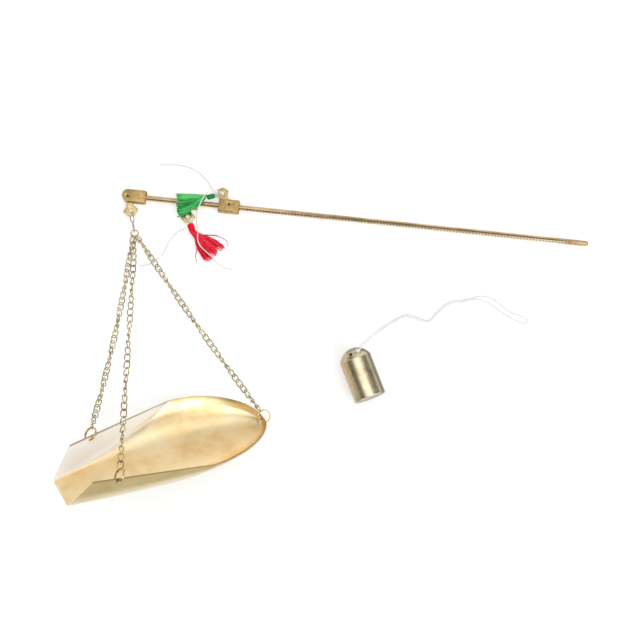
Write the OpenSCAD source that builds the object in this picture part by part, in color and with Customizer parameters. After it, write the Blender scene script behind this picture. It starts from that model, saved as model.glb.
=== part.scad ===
// Small brass steelyard laid out flat: a round beam with two lifting hangers and a load hanger,
// a wire hook, three chains, a scoop shaped pan, two tassels and a loose domed counterweight.
// X runs along the beam to its free end, Z is up from the table, and the origin is on the table
// under the middle of the upper hanger's bracket. Everything is in millimetres.

/* [Beam] */
// Diameter of the round beam rod
rod_d = 3.5; // [3:0.1:4.5]
// Distance from the upper pin to the free end of the rod
rod_reach = 236; // [200:1:280]
// Length of rod left past the head pin
rod_stub = 3; // [2.5:0.1:3.2]
// Diameter of the plug's spigot in the rod's end
spigot_d = 2; // [1.5:0.1:2.2]
// Length of the plug's spigot
spigot_len = 7; // [4:0.5:12]
// Diameter of the plug's collar
collar_d = 3.4; // [2.8:0.05:3.4]
// Length of the plug's collar, from the rod's end to the dome
collar_len = 5; // [3:0.5:6]

/* [Scale] */
// Distance from the upper pin to the first mark
scale_start = 12.6; // [10:0.1:20]
// Distance from the last mark to the rod's free end
scale_rest = 7.1; // [6:0.1:20]
// Number of marks
scale_marks_n = 104; // [60:1:104]
// Diameter of a small mark
mark_d = 0.5; // [0.3:0.05:0.7]
// Diameter of every fifth mark
big_mark_d = 0.8; // [0.5:0.05:1]
// How far a mark stands proud of the rod
mark_proud = 0.05; // [0.03:0.01:0.1]
// Angle of the row of marks, down from the top of the rod
mark_angle = 48; // [30:1:70]

/* [Brackets] */
// Thickness of the folded bracket sheet
cheek = 0.9; // [0.6:0.05:1.2]
// Width of a bracket across the beam
bracket_w = 8.5; // [7.5:0.1:10]
// Length of the two lifting brackets
bracket_len = 13.7; // [12.5:0.1:16]
// Length of the head bracket
head_len = 15.5; // [14:0.1:18]
// Radius of the fold's outer corner
fold_r = 1; // [0.5:0.1:1.2]
// Distance from the upper pin to the lower pin
lower_span = 27.5; // [24:0.5:32]
// Distance from the upper pin to the head pin
head_span = 67.2; // [60:0.2:75]
// How far the two lifting pins sit to either side of the beam's axis
pin_off = 0.8; // [0:0.1:1]
// How far the head pin sits below the beam's axis
head_pin_off = 0.5; // [0:0.1:1]
// Diameter of the pins
pin_d = 1.6; // [1.2:0.1:2]
// How far a pin ends below the bracket's face
pin_recess = 0.25; // [0.1:0.05:0.5]

/* [Hangers] */
// Thickness of the hanger plates
plate_t = 1; // [0.8:0.1:1.2]
// Distance from pin to eye on the two lifting hangers
lift_reach = 9.4; // [9:0.1:11]
// Distance from pin to eye on the load hanger
load_reach = 9.7; // [9:0.1:11]
// Diameter of the eye
eye_d = 2.6; // [2.4:0.1:3]
// Half width of the eye plate at its pointed corners
eye_half = 5; // [4.4:0.1:5.4]
// Half width of the upper hanger's eye plate
upper_eye_half = 4.3; // [4:0.1:4.8]
// Width of the neck at its waist
neck_w = 4; // [3:0.1:4.6]
// Radius of the plate round its pin
boss_r = 2.6; // [2:0.1:2.8]
// Lean of the upper hanger from straight up
upper_lean = 35; // [0:1:45]
// Lean of the lower hanger from straight down
lower_lean = 8; // [0:1:40]
// Lean of the load hanger from straight down
load_lean = 18; // [0:1:40]

/* [Hook and chains] */
// Diameter of the hook's steel wire
hook_d = 0.65; // [0.5:0.05:0.7]
// Distance from the load eye to the middle of the ring that gathers the chains
ring_drop = 15.9; // [15:0.1:17]
// Mean radius of the gathering ring
ring_r = 2.45; // [2.3:0.05:2.8]
// Wire of the gathering ring
ring_wire = 0.8; // [0.6:0.05:0.9]
// Wire of the chain links
link_wire = 0.75; // [0.6:0.05:0.8]
// Outer length of a link
link_len = 6.37; // [6.2:0.01:7.5]
// Outer width of a link
link_w = 4.1; // [4:0.1:4.6]
// Turn of the chain from one link to the next
chain_twist = 25; // [20:1:30]
// Mean radius of the rings in the pan
pan_ring_r = 4.1; // [3.8:0.1:5]
// Wire of the rings in the pan
pan_ring_wire = 0.8; // [0.6:0.05:0.9]

/* [Pan] */
// Length of the pan from its mouth to its back
pan_len = 133; // [120:1:150]
// Where the pan is widest, from the mouth
pan_wide_at = 83; // [70:1:95]
// Greatest half width at the rim
pan_half = 33.2; // [28:0.2:40]
// Half width of the rim at the mouth
mouth_half = 17.8; // [14:0.2:22]
// Half width of the floor at the mouth
mouth_floor = 12; // [9:0.2:14]
// Half width of the floor where it is widest
floor_half = 25.5; // [18:0.5:28]
// Where the floor's straight sides end, from the mouth
floor_straight = 55.4; // [40:0.2:65]
// Height of the wall at the mouth
mouth_wall = 17.8; // [14:0.2:22]
// Height of the wall where the pan is widest
pan_wall = 15.4; // [12:0.2:22]
// Height of the wall at the back
back_wall = 8.5; // [7:0.5:14]
// How far the wall's front corner is set back from the floor's edge
mouth_rake = 13.7; // [8:0.2:18]
// Thickness of the pan's sheet
pan_t = 0.55; // [0.4:0.05:0.9]
// Diameter of the three holes for the rings
pan_hole_d = 2.2; // [1.8:0.1:2.6]
// Turn of the lying pan about its own length, the slope of its length and its heading
pan_turn = [-39.4, 24.7, 27]; // [-90:0.1:90]
// Place of the middle of the pan's mouth on the table
pan_at = [-69, -197.2]; // [-260:0.1:100]

/* [Counterweight] */
// Diameter of the counterweight
weight_d = 20.4; // [16:0.2:24]
// Length of its straight part
weight_len = 26.9; // [20:0.5:34]
// Radius of the dome's sphere
dome_r = 11; // [10.6:0.1:14]
// Chamfer round its foot
weight_chamfer = 0.5; // [0.2:0.1:1]
// Diameter of the cord's hole in the dome
weight_hole_d = 1.9; // [1.6:0.1:2.4]
// Middle of the seam between dome and straight part, on the table
weight_at = [93, -93.4]; // [-200:0.1:250]
// Heading of the counterweight's axis
weight_heading = -63.3; // [-180:0.1:180]

/* [Cords and tassels] */
// Diameter of the white cord
cord_d = 0.8; // [0.6:0.05:0.9]
// Length of the bound head of a tassel
head_l = 5; // [4:0.1:5.4]
// Radius of the green tassel's bound head
green_head_r = 1.7; // [1.3:0.1:1.8]
// Radius of the red tassel's bound head
red_head_r = 2.3; // [1.8:0.1:2.4]
// Number of ribs round a tassel's skirt
skirt_ribs = 14; // [8:1:20]

/* [Hidden] */
brass = "#d8b070";
dull_brass = "#c8a569";
bright_brass = "#f0c880";
steel = "#b8bcc0";
green = "#38a045";
red = "#d01830";
white = "#eeeeee";

// Rod and scale
rod_end = rod_reach - collar_len;
end_chamfer = 0.2;
scale_step = (rod_reach - scale_start - scale_rest) / (scale_marks_n - 1);

// Fits
rod_gap = 0.05;
pin_fit = 0.02;
pin_run = 0.05;
slot_gap = 0.15;
seat = 0.05;

// Beam and brackets
bracket_t = rod_d + 2 * (cheek + rod_gap);
axis_z = bracket_t / 2;
fold_side = bracket_w / 2 + 0.15;
open_side = bracket_w - fold_side;
slot_t = plate_t + 2 * slot_gap;
slot_len = 2 * (boss_r + 2.2);
head_pin_at = [-head_span, -head_pin_off, axis_z];
lower_pin_at = [-lower_span, -pin_off, axis_z];
upper_pin_at = [0, pin_off, axis_z];
head_x0 = -head_span - rod_stub - 0.8;

// Eyes of the hangers, with the hangers as they lie
function from_pin(pin, reach, angle) = pin + reach * [cos(angle), sin(angle), 0];
upper_angle = 90 + upper_lean;
lower_angle = -90 + lower_lean;
load_angle = -90 + load_lean;
upper_eye = from_pin(upper_pin_at, lift_reach, upper_angle);
lower_eye = from_pin(lower_pin_at, lift_reach, lower_angle);
load_eye = from_pin(head_pin_at, load_reach, load_angle);

// Hook and gathering ring
hook_angle = -72.8;
ring_at = load_eye + ring_drop * [cos(hook_angle), sin(hook_angle), 0];
hook_loop_r = 1;

function unit(v) = v / norm(v);
function sum(v, i = 0) = i < len(v) ? v[i] + sum(v, i + 1) : 0;
function turned(p, a) =
    let (x1 = p.x,
         y1 = p.y * cos(a.x) - p.z * sin(a.x),
         z1 = p.y * sin(a.x) + p.z * cos(a.x),
         x2 = x1 * cos(a.y) + z1 * sin(a.y),
         z2 = -x1 * sin(a.y) + z1 * cos(a.y))
    [x2 * cos(a.z) - y1 * sin(a.z), x2 * sin(a.z) + y1 * cos(a.z), z2];

// A smooth curve through hand chosen points, with the same number of steps in each stretch
function between(a, b, c, d, t) =
    0.5 * (2 * b + (c - a) * t + (2 * a - 5 * b + 4 * c - d) * t * t
        + (3 * b - a - 3 * c + d) * t * t * t);
function smooth(p, steps) =
    let (n = len(p))
    [for (i = [0:n - 2], k = [0:steps - 1])
        between(p[max(i - 1, 0)], p[i], p[i + 1], p[min(i + 2, n - 1)], k / steps),
     p[n - 1]];

// Closed solid through a row of rings that all have the same number of points
module loft(rings) {
    n = len(rings[0]);
    m = len(rings);
    points = [for (r = rings) each r];
    sides = [for (i = [0:m - 2], k = [0:n - 1])
        let (a = i * n + k, b = i * n + (k + 1) % n)
        each [[a, b, b + n], [a, b + n, a + n]]];
    ends = [[for (k = [n - 1:-1:0]) k], [for (k = [0:n - 1]) (m - 1) * n + k]];
    polyhedron(points, concat(sides, ends), convexity = 6);
}

// Round tube along a row of points, its rings carried along without twisting
module tube(p, d, sides = 8) {
    n = len(p);
    along = [for (i = [0:n - 1]) unit(p[min(i + 1, n - 1)] - p[max(i - 1, 0)])];
    start = abs(along[0].z) > 0.9 ? [1, 0, 0] : [0, 0, 1];
    first = unit(start - (start * along[0]) * along[0]);
    out = [for (i = 0, f = first; i < n;
                i = i + 1, f = i < n ? unit(f - (f * along[i]) * along[i]) : f) f];
    loft([for (i = [0:n - 1])
        let (side = cross(along[i], out[i]))
        [for (k = [0:sides - 1])
            let (a = -360 * k / sides)
            p[i] + d / 2 * (cos(a) * out[i] + sin(a) * side)]]);
}

// Beam

module pin_slot(at, extra = 0) {
    translate([at.x - slot_len / 2 - extra, -rod_d, at.z - slot_t / 2])
        cube([slot_len + extra, 2 * rod_d, slot_t]);
    translate([at.x, at.y, -1]) cylinder(d = pin_d + 2 * pin_fit, h = bracket_t + 2, $fn = 32);
}

module beam_rod() color(brass)
difference() {
    union() {
        translate([-head_span - rod_stub, 0, axis_z]) rotate([0, 90, 0])
            cylinder(d = rod_d, h = rod_end - end_chamfer + head_span + rod_stub, $fn = 48);
        translate([rod_end - end_chamfer, 0, axis_z]) rotate([0, 90, 0])
            cylinder(d1 = rod_d, d2 = collar_d, h = end_chamfer, $fn = 48);
    }
    pin_slot(head_pin_at, slot_len);
    pin_slot(lower_pin_at);
    pin_slot(upper_pin_at);
    translate([rod_end - spigot_len - 0.5, 0, axis_z]) rotate([0, 90, 0])
        cylinder(d = spigot_d, h = spigot_len + 1, $fn = 32);
}

// The plug closes the rod: a spigot inside, then a collar and a dome
module tip_plug() color(brass)
translate([rod_end, 0, axis_z]) rotate([0, 90, 0]) {
    translate([0, 0, -spigot_len])
        cylinder(d = spigot_d - 2 * pin_fit, h = spigot_len + 1, $fn = 32);
    cylinder(d = collar_d, h = collar_len, $fn = 48);
    translate([0, 0, collar_len]) intersection() {
        sphere(d = collar_d, $fn = 48);
        translate([-rod_d, -rod_d, 0]) cube(2 * rod_d);
    }
}

// Inlaid pins that make the scale, every fifth one larger
module scale_marks() color("#503018")
for (i = [0:scale_marks_n - 1])
    translate([scale_start + i * scale_step, 0, axis_z]) rotate([mark_angle, 0, 0])
        translate([0, 0, rod_d / 2 - 0.4])
            cylinder(d = i % 5 == 0 ? big_mark_d : mark_d, h = 0.4 + mark_proud, $fn = 16);

// Brackets: a sheet folded round the rod, open towards its hanger

module folded_strip(x0, length) {
    translate([x0, 0, 0]) rotate([90, 0, 90]) linear_extrude(length) difference() {
        union() {
            translate([fold_r - fold_side, 0]) square([bracket_w - fold_r, bracket_t]);
            translate([-fold_side, fold_r]) square([fold_r, bracket_t - 2 * fold_r]);
            for (z = [fold_r, bracket_t - fold_r])
                translate([fold_r - fold_side, z]) circle(fold_r, $fn = 32);
        }
        translate([cheek - fold_side, cheek]) square([bracket_w, bracket_t - 2 * cheek]);
    }
}

module pin_hole(at) {
    translate([at.x, at.y, -1]) cylinder(d = pin_d + 2 * pin_fit, h = bracket_t + 2, $fn = 32);
}

// The head bracket's outer end is rounded about the beam's axis
module head_bracket() color(dull_brass)
difference() {
    intersection() {
        mirror([0, 1, 0]) folded_strip(head_x0, head_len);
        union() {
            translate([head_x0 + bracket_w / 2, (fold_side - open_side) / 2, -1])
                cylinder(d = bracket_w, h = bracket_t + 2, $fn = 64);
            translate([head_x0 + bracket_w / 2, -bracket_w, -1])
                cube([head_len, 2 * bracket_w, bracket_t + 2]);
        }
    }
    pin_hole(head_pin_at);
}

module lower_bracket() color(dull_brass)
difference() {
    mirror([0, 1, 0]) folded_strip(-lower_span - bracket_len / 2, bracket_len);
    pin_hole(lower_pin_at);
}

module upper_bracket() color(dull_brass)
difference() {
    folded_strip(-bracket_len / 2, bracket_len);
    pin_hole(upper_pin_at);
}

module pin(at) {
    translate([at.x, at.y, pin_recess])
        cylinder(d = pin_d, h = bracket_t - 2 * pin_recess, $fn = 32);
}

module head_pin() color(steel) pin(head_pin_at);
module lower_pin() color(steel) pin(lower_pin_at);
module upper_pin() color(steel) pin(upper_pin_at);

// Hangers: a stamped plate with a round boss, a waisted neck and a six sided eye plate

eye_foot = 3.6;
waist_r = 4.5;

module hanger(pin, reach, angle, half) {
    translate([pin.x, pin.y, pin.z - plate_t / 2]) rotate([0, 0, angle])
        linear_extrude(plate_t) difference() {
            union() {
                circle(boss_r, $fn = 48);
                polygon([[0, -neck_w / 2 - 0.5], [reach - 2.7, -neck_w / 2 - 0.5],
                    [reach - 0.3, -half], [reach + 0.3, -half], [reach + eye_foot, -2.1],
                    [reach + eye_foot, 2.1], [reach + 0.3, half], [reach - 0.3, half],
                    [reach - 2.7, neck_w / 2 + 0.5], [0, neck_w / 2 + 0.5]]);
            }
            for (s = [-1, 1])
                translate([reach / 2 - 0.4, s * (neck_w / 2 + waist_r)])
                    circle(waist_r, $fn = 64);
            circle(d = pin_d + 2 * pin_run, $fn = 32);
            translate([reach, 0]) circle(d = eye_d, $fn = 48);
        }
}

module load_hanger() color(dull_brass) hanger(head_pin_at, load_reach, load_angle, eye_half);
module lower_hanger() color(dull_brass) hanger(lower_pin_at, lift_reach, lower_angle, eye_half);
module upper_hanger() color(dull_brass)
    hanger(upper_pin_at, lift_reach, upper_angle, upper_eye_half);

// Hook: one wire, out through the eye and back, twisted into a shank, closed round the ring

shank_start = 8.4;
shank_end = ring_drop - ring_r - hook_loop_r - 0.6;
strand_r = hook_d / 2 + 0.06;
eye_wire = eye_d / 2 - hook_d / 2 - 0.06;
over_plate = plate_t / 2 + hook_d / 2 + 0.3;
ring_wire_at = ring_drop - ring_r;

// One strand of the shank, from its top to its foot, in half turn steps
function shank(sign, turns) = [for (k = [0:6])
    [shank_start + (shank_end - shank_start) * k / 6,
     sign * strand_r * cos(turns * 60 * k), sign * strand_r * sin(turns * 60 * k)]];
function flip(v) = [for (i = [len(v) - 1:-1:0]) v[i]];
// From the eye down to the shank, over the front of the plate or behind it
function bow(sign) = [
    [eye_wire + 0.6, sign * 0.2, sign * over_plate],
    [3.2, sign * 0.75, sign * over_plate],
    [4.3, sign * 1.2, sign * (over_plate - 0.15)],
    [5.3, sign * 1.35, sign * 0.45],
    [6.6, sign * 1, sign * 0.15]];
function hook_end() = [for (a = [160:-40:-160])
    [ring_wire_at + hook_loop_r * cos(a), 0.02 * a / 160, hook_loop_r * sin(a)]];
hook_path = concat(
    flip(shank(-1, 1)), flip(bow(-1)), [[eye_wire, 0, 0]], bow(1), shank(1, 1),
    hook_end());

module load_hook() color(steel)
translate(load_eye) rotate([0, 0, hook_angle]) tube(smooth(hook_path, 2), hook_d, 8);

module torus(r, wire) {
    rotate_extrude($fn = 64) translate([r, 0]) circle(d = wire, $fn = 24);
}

// The gathering ring's wire is worn flat along its outside.
module top_ring() color(bright_brass) translate(ring_at)
intersection() {
    torus(ring_r, ring_wire);
    translate([0, 0, -ring_wire]) cylinder(d = 2 * ring_r + 0.8 * ring_wire, h = 2 * ring_wire, $fn = 64);
}

// Pan: the floor and the rim are two outlines, and the wall runs from one to the other.
// A point is named by its place round the outline, 0 at the mouth's one corner, 1 at the back
// and 2 at the other corner, and by its way from the middle of the floor, 0, to the rim, 1.

flank_steps = 8;
bowl_steps = 14;
side_steps = flank_steps + bowl_steps;
wall_steps = 8;
rim_power = 2 / 1.84;
floor_power = 2 / 2.38;
floor_len = pan_len - 1.8;

function on_flank(k) = min(k, 2 * side_steps - k) / flank_steps;
function bowl_angle(k) = 90 * (side_steps - min(k, 2 * side_steps - k)) / bowl_steps;
function side_sign(k) = k <= side_steps ? -1 : 1;
function mix(a, b, t) = a + (b - a) * t;
function rim(k) =
    let (f = on_flank(k), a = bowl_angle(k), s = side_sign(k))
    f < 1 ? [mix(mouth_rake, pan_wide_at, f), s * mix(mouth_half, pan_half, f),
             mix(mouth_wall, pan_wall, f)]
    : [mix(pan_wide_at, pan_len, pow(cos(a), rim_power)), s * pan_half * pow(sin(a), rim_power),
       mix(back_wall, pan_wall, pow(sin(a), rim_power))];
function floor_edge(k) =
    let (f = on_flank(k), a = bowl_angle(k), s = side_sign(k))
    f < 1 ? [floor_straight * f, s * mix(mouth_floor, floor_half, f), 0]
    : [mix(floor_straight, floor_len, pow(cos(a), floor_power)),
       s * floor_half * pow(sin(a), floor_power), 0];
function keel(k) = [min(on_flank(k), 1) * floor_straight, 0, 0];
// Share of the wall that is rounded: a tight crease at the mouth, a bowl at the back
function rounding(k) = 0.12 + 0.6 * pow(min(1, on_flank(k)), 1.5);
function on_wall(k, s) =
    let (g = rounding(k), c = floor_edge(k), r = rim(k), a = mix(keel(k), c, 1 - g),
         b = mix(c, r, g), t = (s - 0.3) / 0.4)
    s < 0.3 ? mix(keel(k), a, s / 0.3)
    : s < 0.7 ? (1 - t) * (1 - t) * a + 2 * t * (1 - t) * c + t * t * b
    : mix(b, r, (s - 0.7) / 0.3);
// Outward direction of the sheet
function wall_normal(k, s) =
    let (last = 2 * side_steps,
         du = on_wall(min(k + 0.3, last), s) - on_wall(max(k - 0.3, 0), s),
         ds = on_wall(k, min(s + 0.03, 1)) - on_wall(k, max(s - 0.03, 0)))
    unit(cross(du, ds));
function sheet_point(k, s, offset) =
    s == 0 ? keel(k) - [0, 0, offset] : on_wall(k, s) + offset * wall_normal(k, s);

// Vertices of one face of the sheet: the keel first, then rows that run right round
keel_n = flank_steps + 1;
row_n = 2 * side_steps + 1;
face_n = keel_n + wall_steps * row_n;
function face_points(offset) = concat(
    [for (k = [0:flank_steps]) sheet_point(k, 0, offset)],
    [for (m = [1:wall_steps], k = [0:2 * side_steps]) sheet_point(k, m / wall_steps, offset)]);
function at_row(k, m) = m == 0 ? min(k, 2 * side_steps - k, flank_steps)
    : keel_n + (m - 1) * row_n + k;
function face_triangles() = [for (m = [0:wall_steps - 1], k = [0:2 * side_steps - 1])
    let (a = at_row(k, m), b = at_row(k + 1, m), c = at_row(k + 1, m + 1), d = at_row(k, m + 1))
    each (a == b ? [[a, c, d]] : [[a, b, c], [a, c, d]])];
// The free edge: up one side of the mouth, round the rim and down the other side
edge = concat(
    [for (m = [0:wall_steps]) at_row(0, m)],
    [for (k = [1:2 * side_steps]) at_row(k, wall_steps)],
    [for (m = [wall_steps - 1:-1:1]) at_row(2 * side_steps, m)]);
function flipped(t) = [for (f = t) [f[0], f[2], f[1]]];
function shifted(t, by) = [for (f = t) [for (i = f) i + by]];
function edge_triangles() = [for (i = [0:len(edge) - 1])
    let (a = edge[i], b = edge[(i + 1) % len(edge)])
    each [[a, b + face_n, b], [a, a + face_n, b + face_n]]];

// The pan is laid down until its lowest place meets the table
pan_low = min([for (p = face_points(pan_t / 2)) turned(p, pan_turn).z]);
pan_place = [pan_at.x, pan_at.y, -pan_low];
function placed(p) = turned(p, pan_turn) + pan_place;

// Ring holes: place round the outline and way up the wall, on each side and at the back
side_hole = [1.77, 0.945];
near_hole = side_hole;
far_hole = [2 * side_steps - side_hole[0], side_hole[1]];
back_hole = [side_steps, 0.66];
function hole_point(k, s) = placed(on_wall(k, s));
function hole_normal(k, s) = turned(wall_normal(k, s), pan_turn);

module pan_hole(h) {
    n = wall_normal(h[0], h[1]);
    translate(on_wall(h[0], h[1])) rotate([0, acos(n.z), atan2(n.y, n.x)])
        cylinder(d = pan_hole_d, h = 4, center = true, $fn = 32);
}

module pan() color(bright_brass)
translate(pan_place) rotate(pan_turn) difference() {
    polyhedron(concat(face_points(-pan_t / 2), face_points(pan_t / 2)),
        concat(face_triangles(), shifted(flipped(face_triangles()), face_n),
            edge_triangles()), convexity = 8);
    pan_hole(near_hole);
    pan_hole(far_hole);
    pan_hole(back_hole);
}

// A pan ring goes through its hole and over the rim, pulled towards the chains.
// slant turns its wire away from square to the sheet, as far as the hole lets it.
// Each ring is [middle, direction across the ring, direction to where its chain hangs].
function pan_ring(hole, slant, pull) =
    let (h = hole_point(hole[0], hole[1]),
         through = unit(hole_normal(hole[0], hole[1]) + slant),
         want = unit(hole_point(hole[0], 1) - h) + pull * unit(ring_at - h),
         out = unit(want - (want * through) * through),
         middle = h + pan_ring_r * out,
         across = cross(out, through),
         chain = ring_at - middle)
    [middle, across, unit(chain - (chain * across) * across)];
function to_ring(hole) = unit(ring_at - hole_point(hole[0], hole[1]));
ring_near = pan_ring(near_hole, 0.7 * to_ring(near_hole), 4);
ring_far = pan_ring(far_hole, -0.6 * to_ring(far_hole), 3);
ring_back = pan_ring(back_hole, [0.2, 0, 0.5], 1);

module lay_ring(r) {
    n = r[1];
    translate(r[0]) rotate([0, acos(n.z), atan2(n.y, n.x)]) torus(pan_ring_r, pan_ring_wire);
}

module pan_ring_near() color(bright_brass) lay_ring(ring_near);
module pan_ring_far() color(bright_brass) lay_ring(ring_far);
module pan_ring_back() color(bright_brass) lay_ring(ring_back);

// Chains. A chain is [where it meets the gathering ring, where it meets its pan ring,
// how much it sags, how far it bows sideways].
function ring_edge(angle) = ring_at + ring_r * [cos(angle), sin(angle), 0];
function ring_top(r) = r[0] + pan_ring_r * r[2];
near_chain = [ring_edge(-76), ring_top(ring_near), 0, 0];
far_chain = [ring_edge(-110), ring_top(ring_far), 1, 0.2];
back_chain = [ring_edge(-40), ring_top(ring_back), 0.25, 1.5];

path_steps = 48;
function chain_point(c, t) =
    let (a = c[0], b = c[1], side = unit(cross([0, 0, 1], b - a)))
    [mix(a.x, b.x, t), mix(a.y, b.y, t), mix(a.z, b.z, mix(t, t * t, c[2]))]
        - side * c[3] * 4 * t * (1 - t);
function chain_steps(c) = [for (i = [1:path_steps])
    norm(chain_point(c, i / path_steps) - chain_point(c, (i - 1) / path_steps))];
function chain_table(c) =
    let (steps = chain_steps(c))
    [for (i = 0, s = 0; i <= path_steps; s = s + (i < path_steps ? steps[i] : 0), i = i + 1)
        [s, i / path_steps]];
function chain_length(c) = sum(chain_steps(c));

link_mid = link_len - link_wire;
link_end_r = (link_w - link_wire) / 2;
link_hang = (ring_wire + link_wire) / 2 + 0.03;
taut_pitch = link_mid - link_wire - 0.02;
first_link = link_mid / 2 - link_hang;
function links_for(c) = 1 + ceil((chain_length(c) - 2 * first_link) / taut_pitch);
chain_links = max(links_for(near_chain), links_for(far_chain), links_for(back_chain));
// Extra turn of every second link, so that neighbours cross and never lie in one plane
cross_turn = 88;

function slope(d) = -asin(d.z);
function heading(d) = atan2(d.y, d.x);
// Turn about a chain's run at which a link lies square to a ring
function square_to(d, n) =
    let (side = [-sin(heading(d)), cos(heading(d)), 0], up = cross(d, side))
    atan2(-n * side, n * up);
function near_turn(wanted, about) = wanted + 180 * round((about - wanted) / 180);

module chain_link() {
    straight = link_mid / 2 - link_end_r;
    for (s = [0, 180]) rotate([0, 0, s]) {
        translate([straight, 0, 0]) rotate([0, 0, -90]) rotate_extrude(angle = 180, $fn = 48)
            translate([link_end_r, 0]) circle(d = link_wire, $fn = 24);
        translate([-straight, link_end_r, 0]) rotate([0, 90, 0])
            cylinder(d = link_wire, h = 2 * straight, $fn = 24);
    }
}

// sense is the way that a chain turns about its run, 1 or -1
module chain(c, ring, sense = 1) {
    table = chain_table(c);
    total = chain_length(c);
    pitch = (total - 2 * first_link) / (chain_links - 1);
    last = chain_links - 1;
    end_dir = unit(chain_point(c, 1) - chain_point(c, 0.98));
    wanted = square_to(end_dir, cross(ring[1], ring[2])) - 90 - cross_turn * (last % 2);
    twist = near_turn(wanted, sense * chain_twist * last) / last;
    for (i = [0:last]) {
        s = first_link + i * pitch;
        here = chain_point(c, lookup(s, table));
        dir = unit(chain_point(c, lookup(min(s + 1.5, total), table))
            - chain_point(c, lookup(max(s - 1.5, 0), table)));
        translate(here) rotate([0, slope(dir), heading(dir)])
            rotate([90 + twist * i + cross_turn * (i % 2), 0, 0]) chain_link();
    }
}

module chain_near() color(brass) chain(near_chain, ring_near);
module chain_far() color(brass) chain(far_chain, ring_far, -1);
module chain_back() color(brass) chain(back_chain, ring_back);

// Counterweight: its own X runs from the seam under the dome to the foot

weight_r = weight_d / 2;
dome_h = dome_r - sqrt(dome_r * dome_r - weight_r * weight_r);
// The two mouths of the cord's hole: way up the dome from the seam, and to the side
hole_mouth = [2.2, -2.6];
knot_mouth = [2.9, 2.6];
function dome_top(m) = sqrt(dome_r * dome_r - pow(dome_r - dome_h + m[0], 2) - m[1] * m[1]);
function on_weight(p) =
    let (a = weight_heading)
    [weight_at.x + p.x * cos(a) - p.y * sin(a), weight_at.y + p.x * sin(a) + p.y * cos(a),
     p.z + weight_r];
function mouth_at(m) = [-m[0], m[1], dome_top(m)];

// Both bores run down to one point under the dome
bore_meet = [-(hole_mouth[0] + knot_mouth[0]) / 2, 0, dome_top((hole_mouth + knot_mouth) / 2) - 3.6];

module bore_to(m) {
    way = mouth_at(m) - bore_meet;
    translate(bore_meet) rotate([0, acos(way.z / norm(way)), atan2(way.y, way.x)])
        cylinder(d = weight_hole_d, h = norm(way) + 3, $fn = 32);
}

module weight() color(dull_brass)
translate([weight_at.x, weight_at.y, weight_r]) rotate([0, 0, weight_heading]) difference() {
    rotate([0, 90, 0]) rotate_extrude($fn = 96) {
        polygon([[0, 0], [weight_r, 0], [weight_r, weight_len - weight_chamfer],
            [weight_r - weight_chamfer, weight_len], [0, weight_len]]);
        intersection() {
            translate([0, dome_r - dome_h]) circle(dome_r, $fn = 96);
            translate([0, -dome_r]) square([dome_r, dome_r + 1]);
        }
    }
    bore_to(hole_mouth);
    bore_to(knot_mouth);
    translate(bore_meet) sphere(d = weight_hole_d + 0.2, $fn = 32);
}

knot_r = 1.5;
knot_at = on_weight(mouth_at(knot_mouth) + [0, 0, 0]) + [0, 0, knot_r * 0.75];

// The knot sits in the mouth of its hole
module weight_knot() color(white) translate(knot_at) difference() {
    sphere(knot_r, $fn = 32);
    translate(on_weight([dome_r - dome_h, 0, 0]) - knot_at) sphere(dome_r + seat, $fn = 96);
}

// Bound heads of the two tassels: each starts at its tie, which leaves its hanger's eye that way
green_way = 205;
green_reach = upper_eye_half + 1.3;
green_from = upper_eye + (green_reach + seat) * [cos(green_way), sin(green_way), 0]
    + [0, 0, 1.2];
green_to = green_from + head_l * unit([-4.6, -2.9, 2.6]);
red_way = -64;
red_reach = 4.9;
red_from = lower_eye + (red_reach + seat) * [cos(red_way), sin(red_way), 0];
red_to = red_from + head_l * unit([2, -4.2, -0.2]);

// Cord routes, chosen by hand on the table
weight_route = [[94.5, -87.9, 19.8], [96, -85.2, 17.6], [98.3, -81.6, 11], [101, -77.4, 4.5],
    [105, -73, 1.2], [111, -67.4, 0.5], [118.5, -61.9, 0.5], [123, -59.6, 0.5],
    [128.5, -60.1, 0.5], [133.5, -61.4, 0.5], [138, -61.5, 0.5], [142, -56.8, 0.5],
    [147.3, -50.6, 0.5], [152.7, -47.3, 0.5], [158, -46.2, 0.5], [166.5, -43.5, 0.5],
    [171, -42.1, 0.5], [175.6, -42.2, 0.5], [180.4, -44, 0.5], [185.4, -47.7, 0.5],
    [191, -50.9, 0.5], [197, -52.4, 0.5], [201, -54.2, 0.5], [201.6, -56.2, 0.5],
    [199.5, -57.2, 0.5], [195.2, -56, 0.5], [190.5, -54.2, 0.5], [184.7, -51.1, 0.5],
    [179, -47.6, 0.5], [173, -44.9, 0.5], [166.5, -44.7, 0.5], [158.4, -47.3, 0.5],
    [153.2, -48.4, 0.5], [148.2, -51.5, 0.5], [142.9, -57.5, 0.5], [138.6, -62.5, 0.5],
    [133.3, -62.6, 0.5], [128.3, -61.3, 0.5], [123.4, -60.8, 0.5], [119.2, -62.9, 0.5],
    [111.8, -68.3, 0.5], [105.9, -73.8, 1.2], [102, -78, 4.5], [99.3, -82.2, 11],
    [97.1, -85.8, 17.4], [95.5, -88.5, 19.5]];

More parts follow.
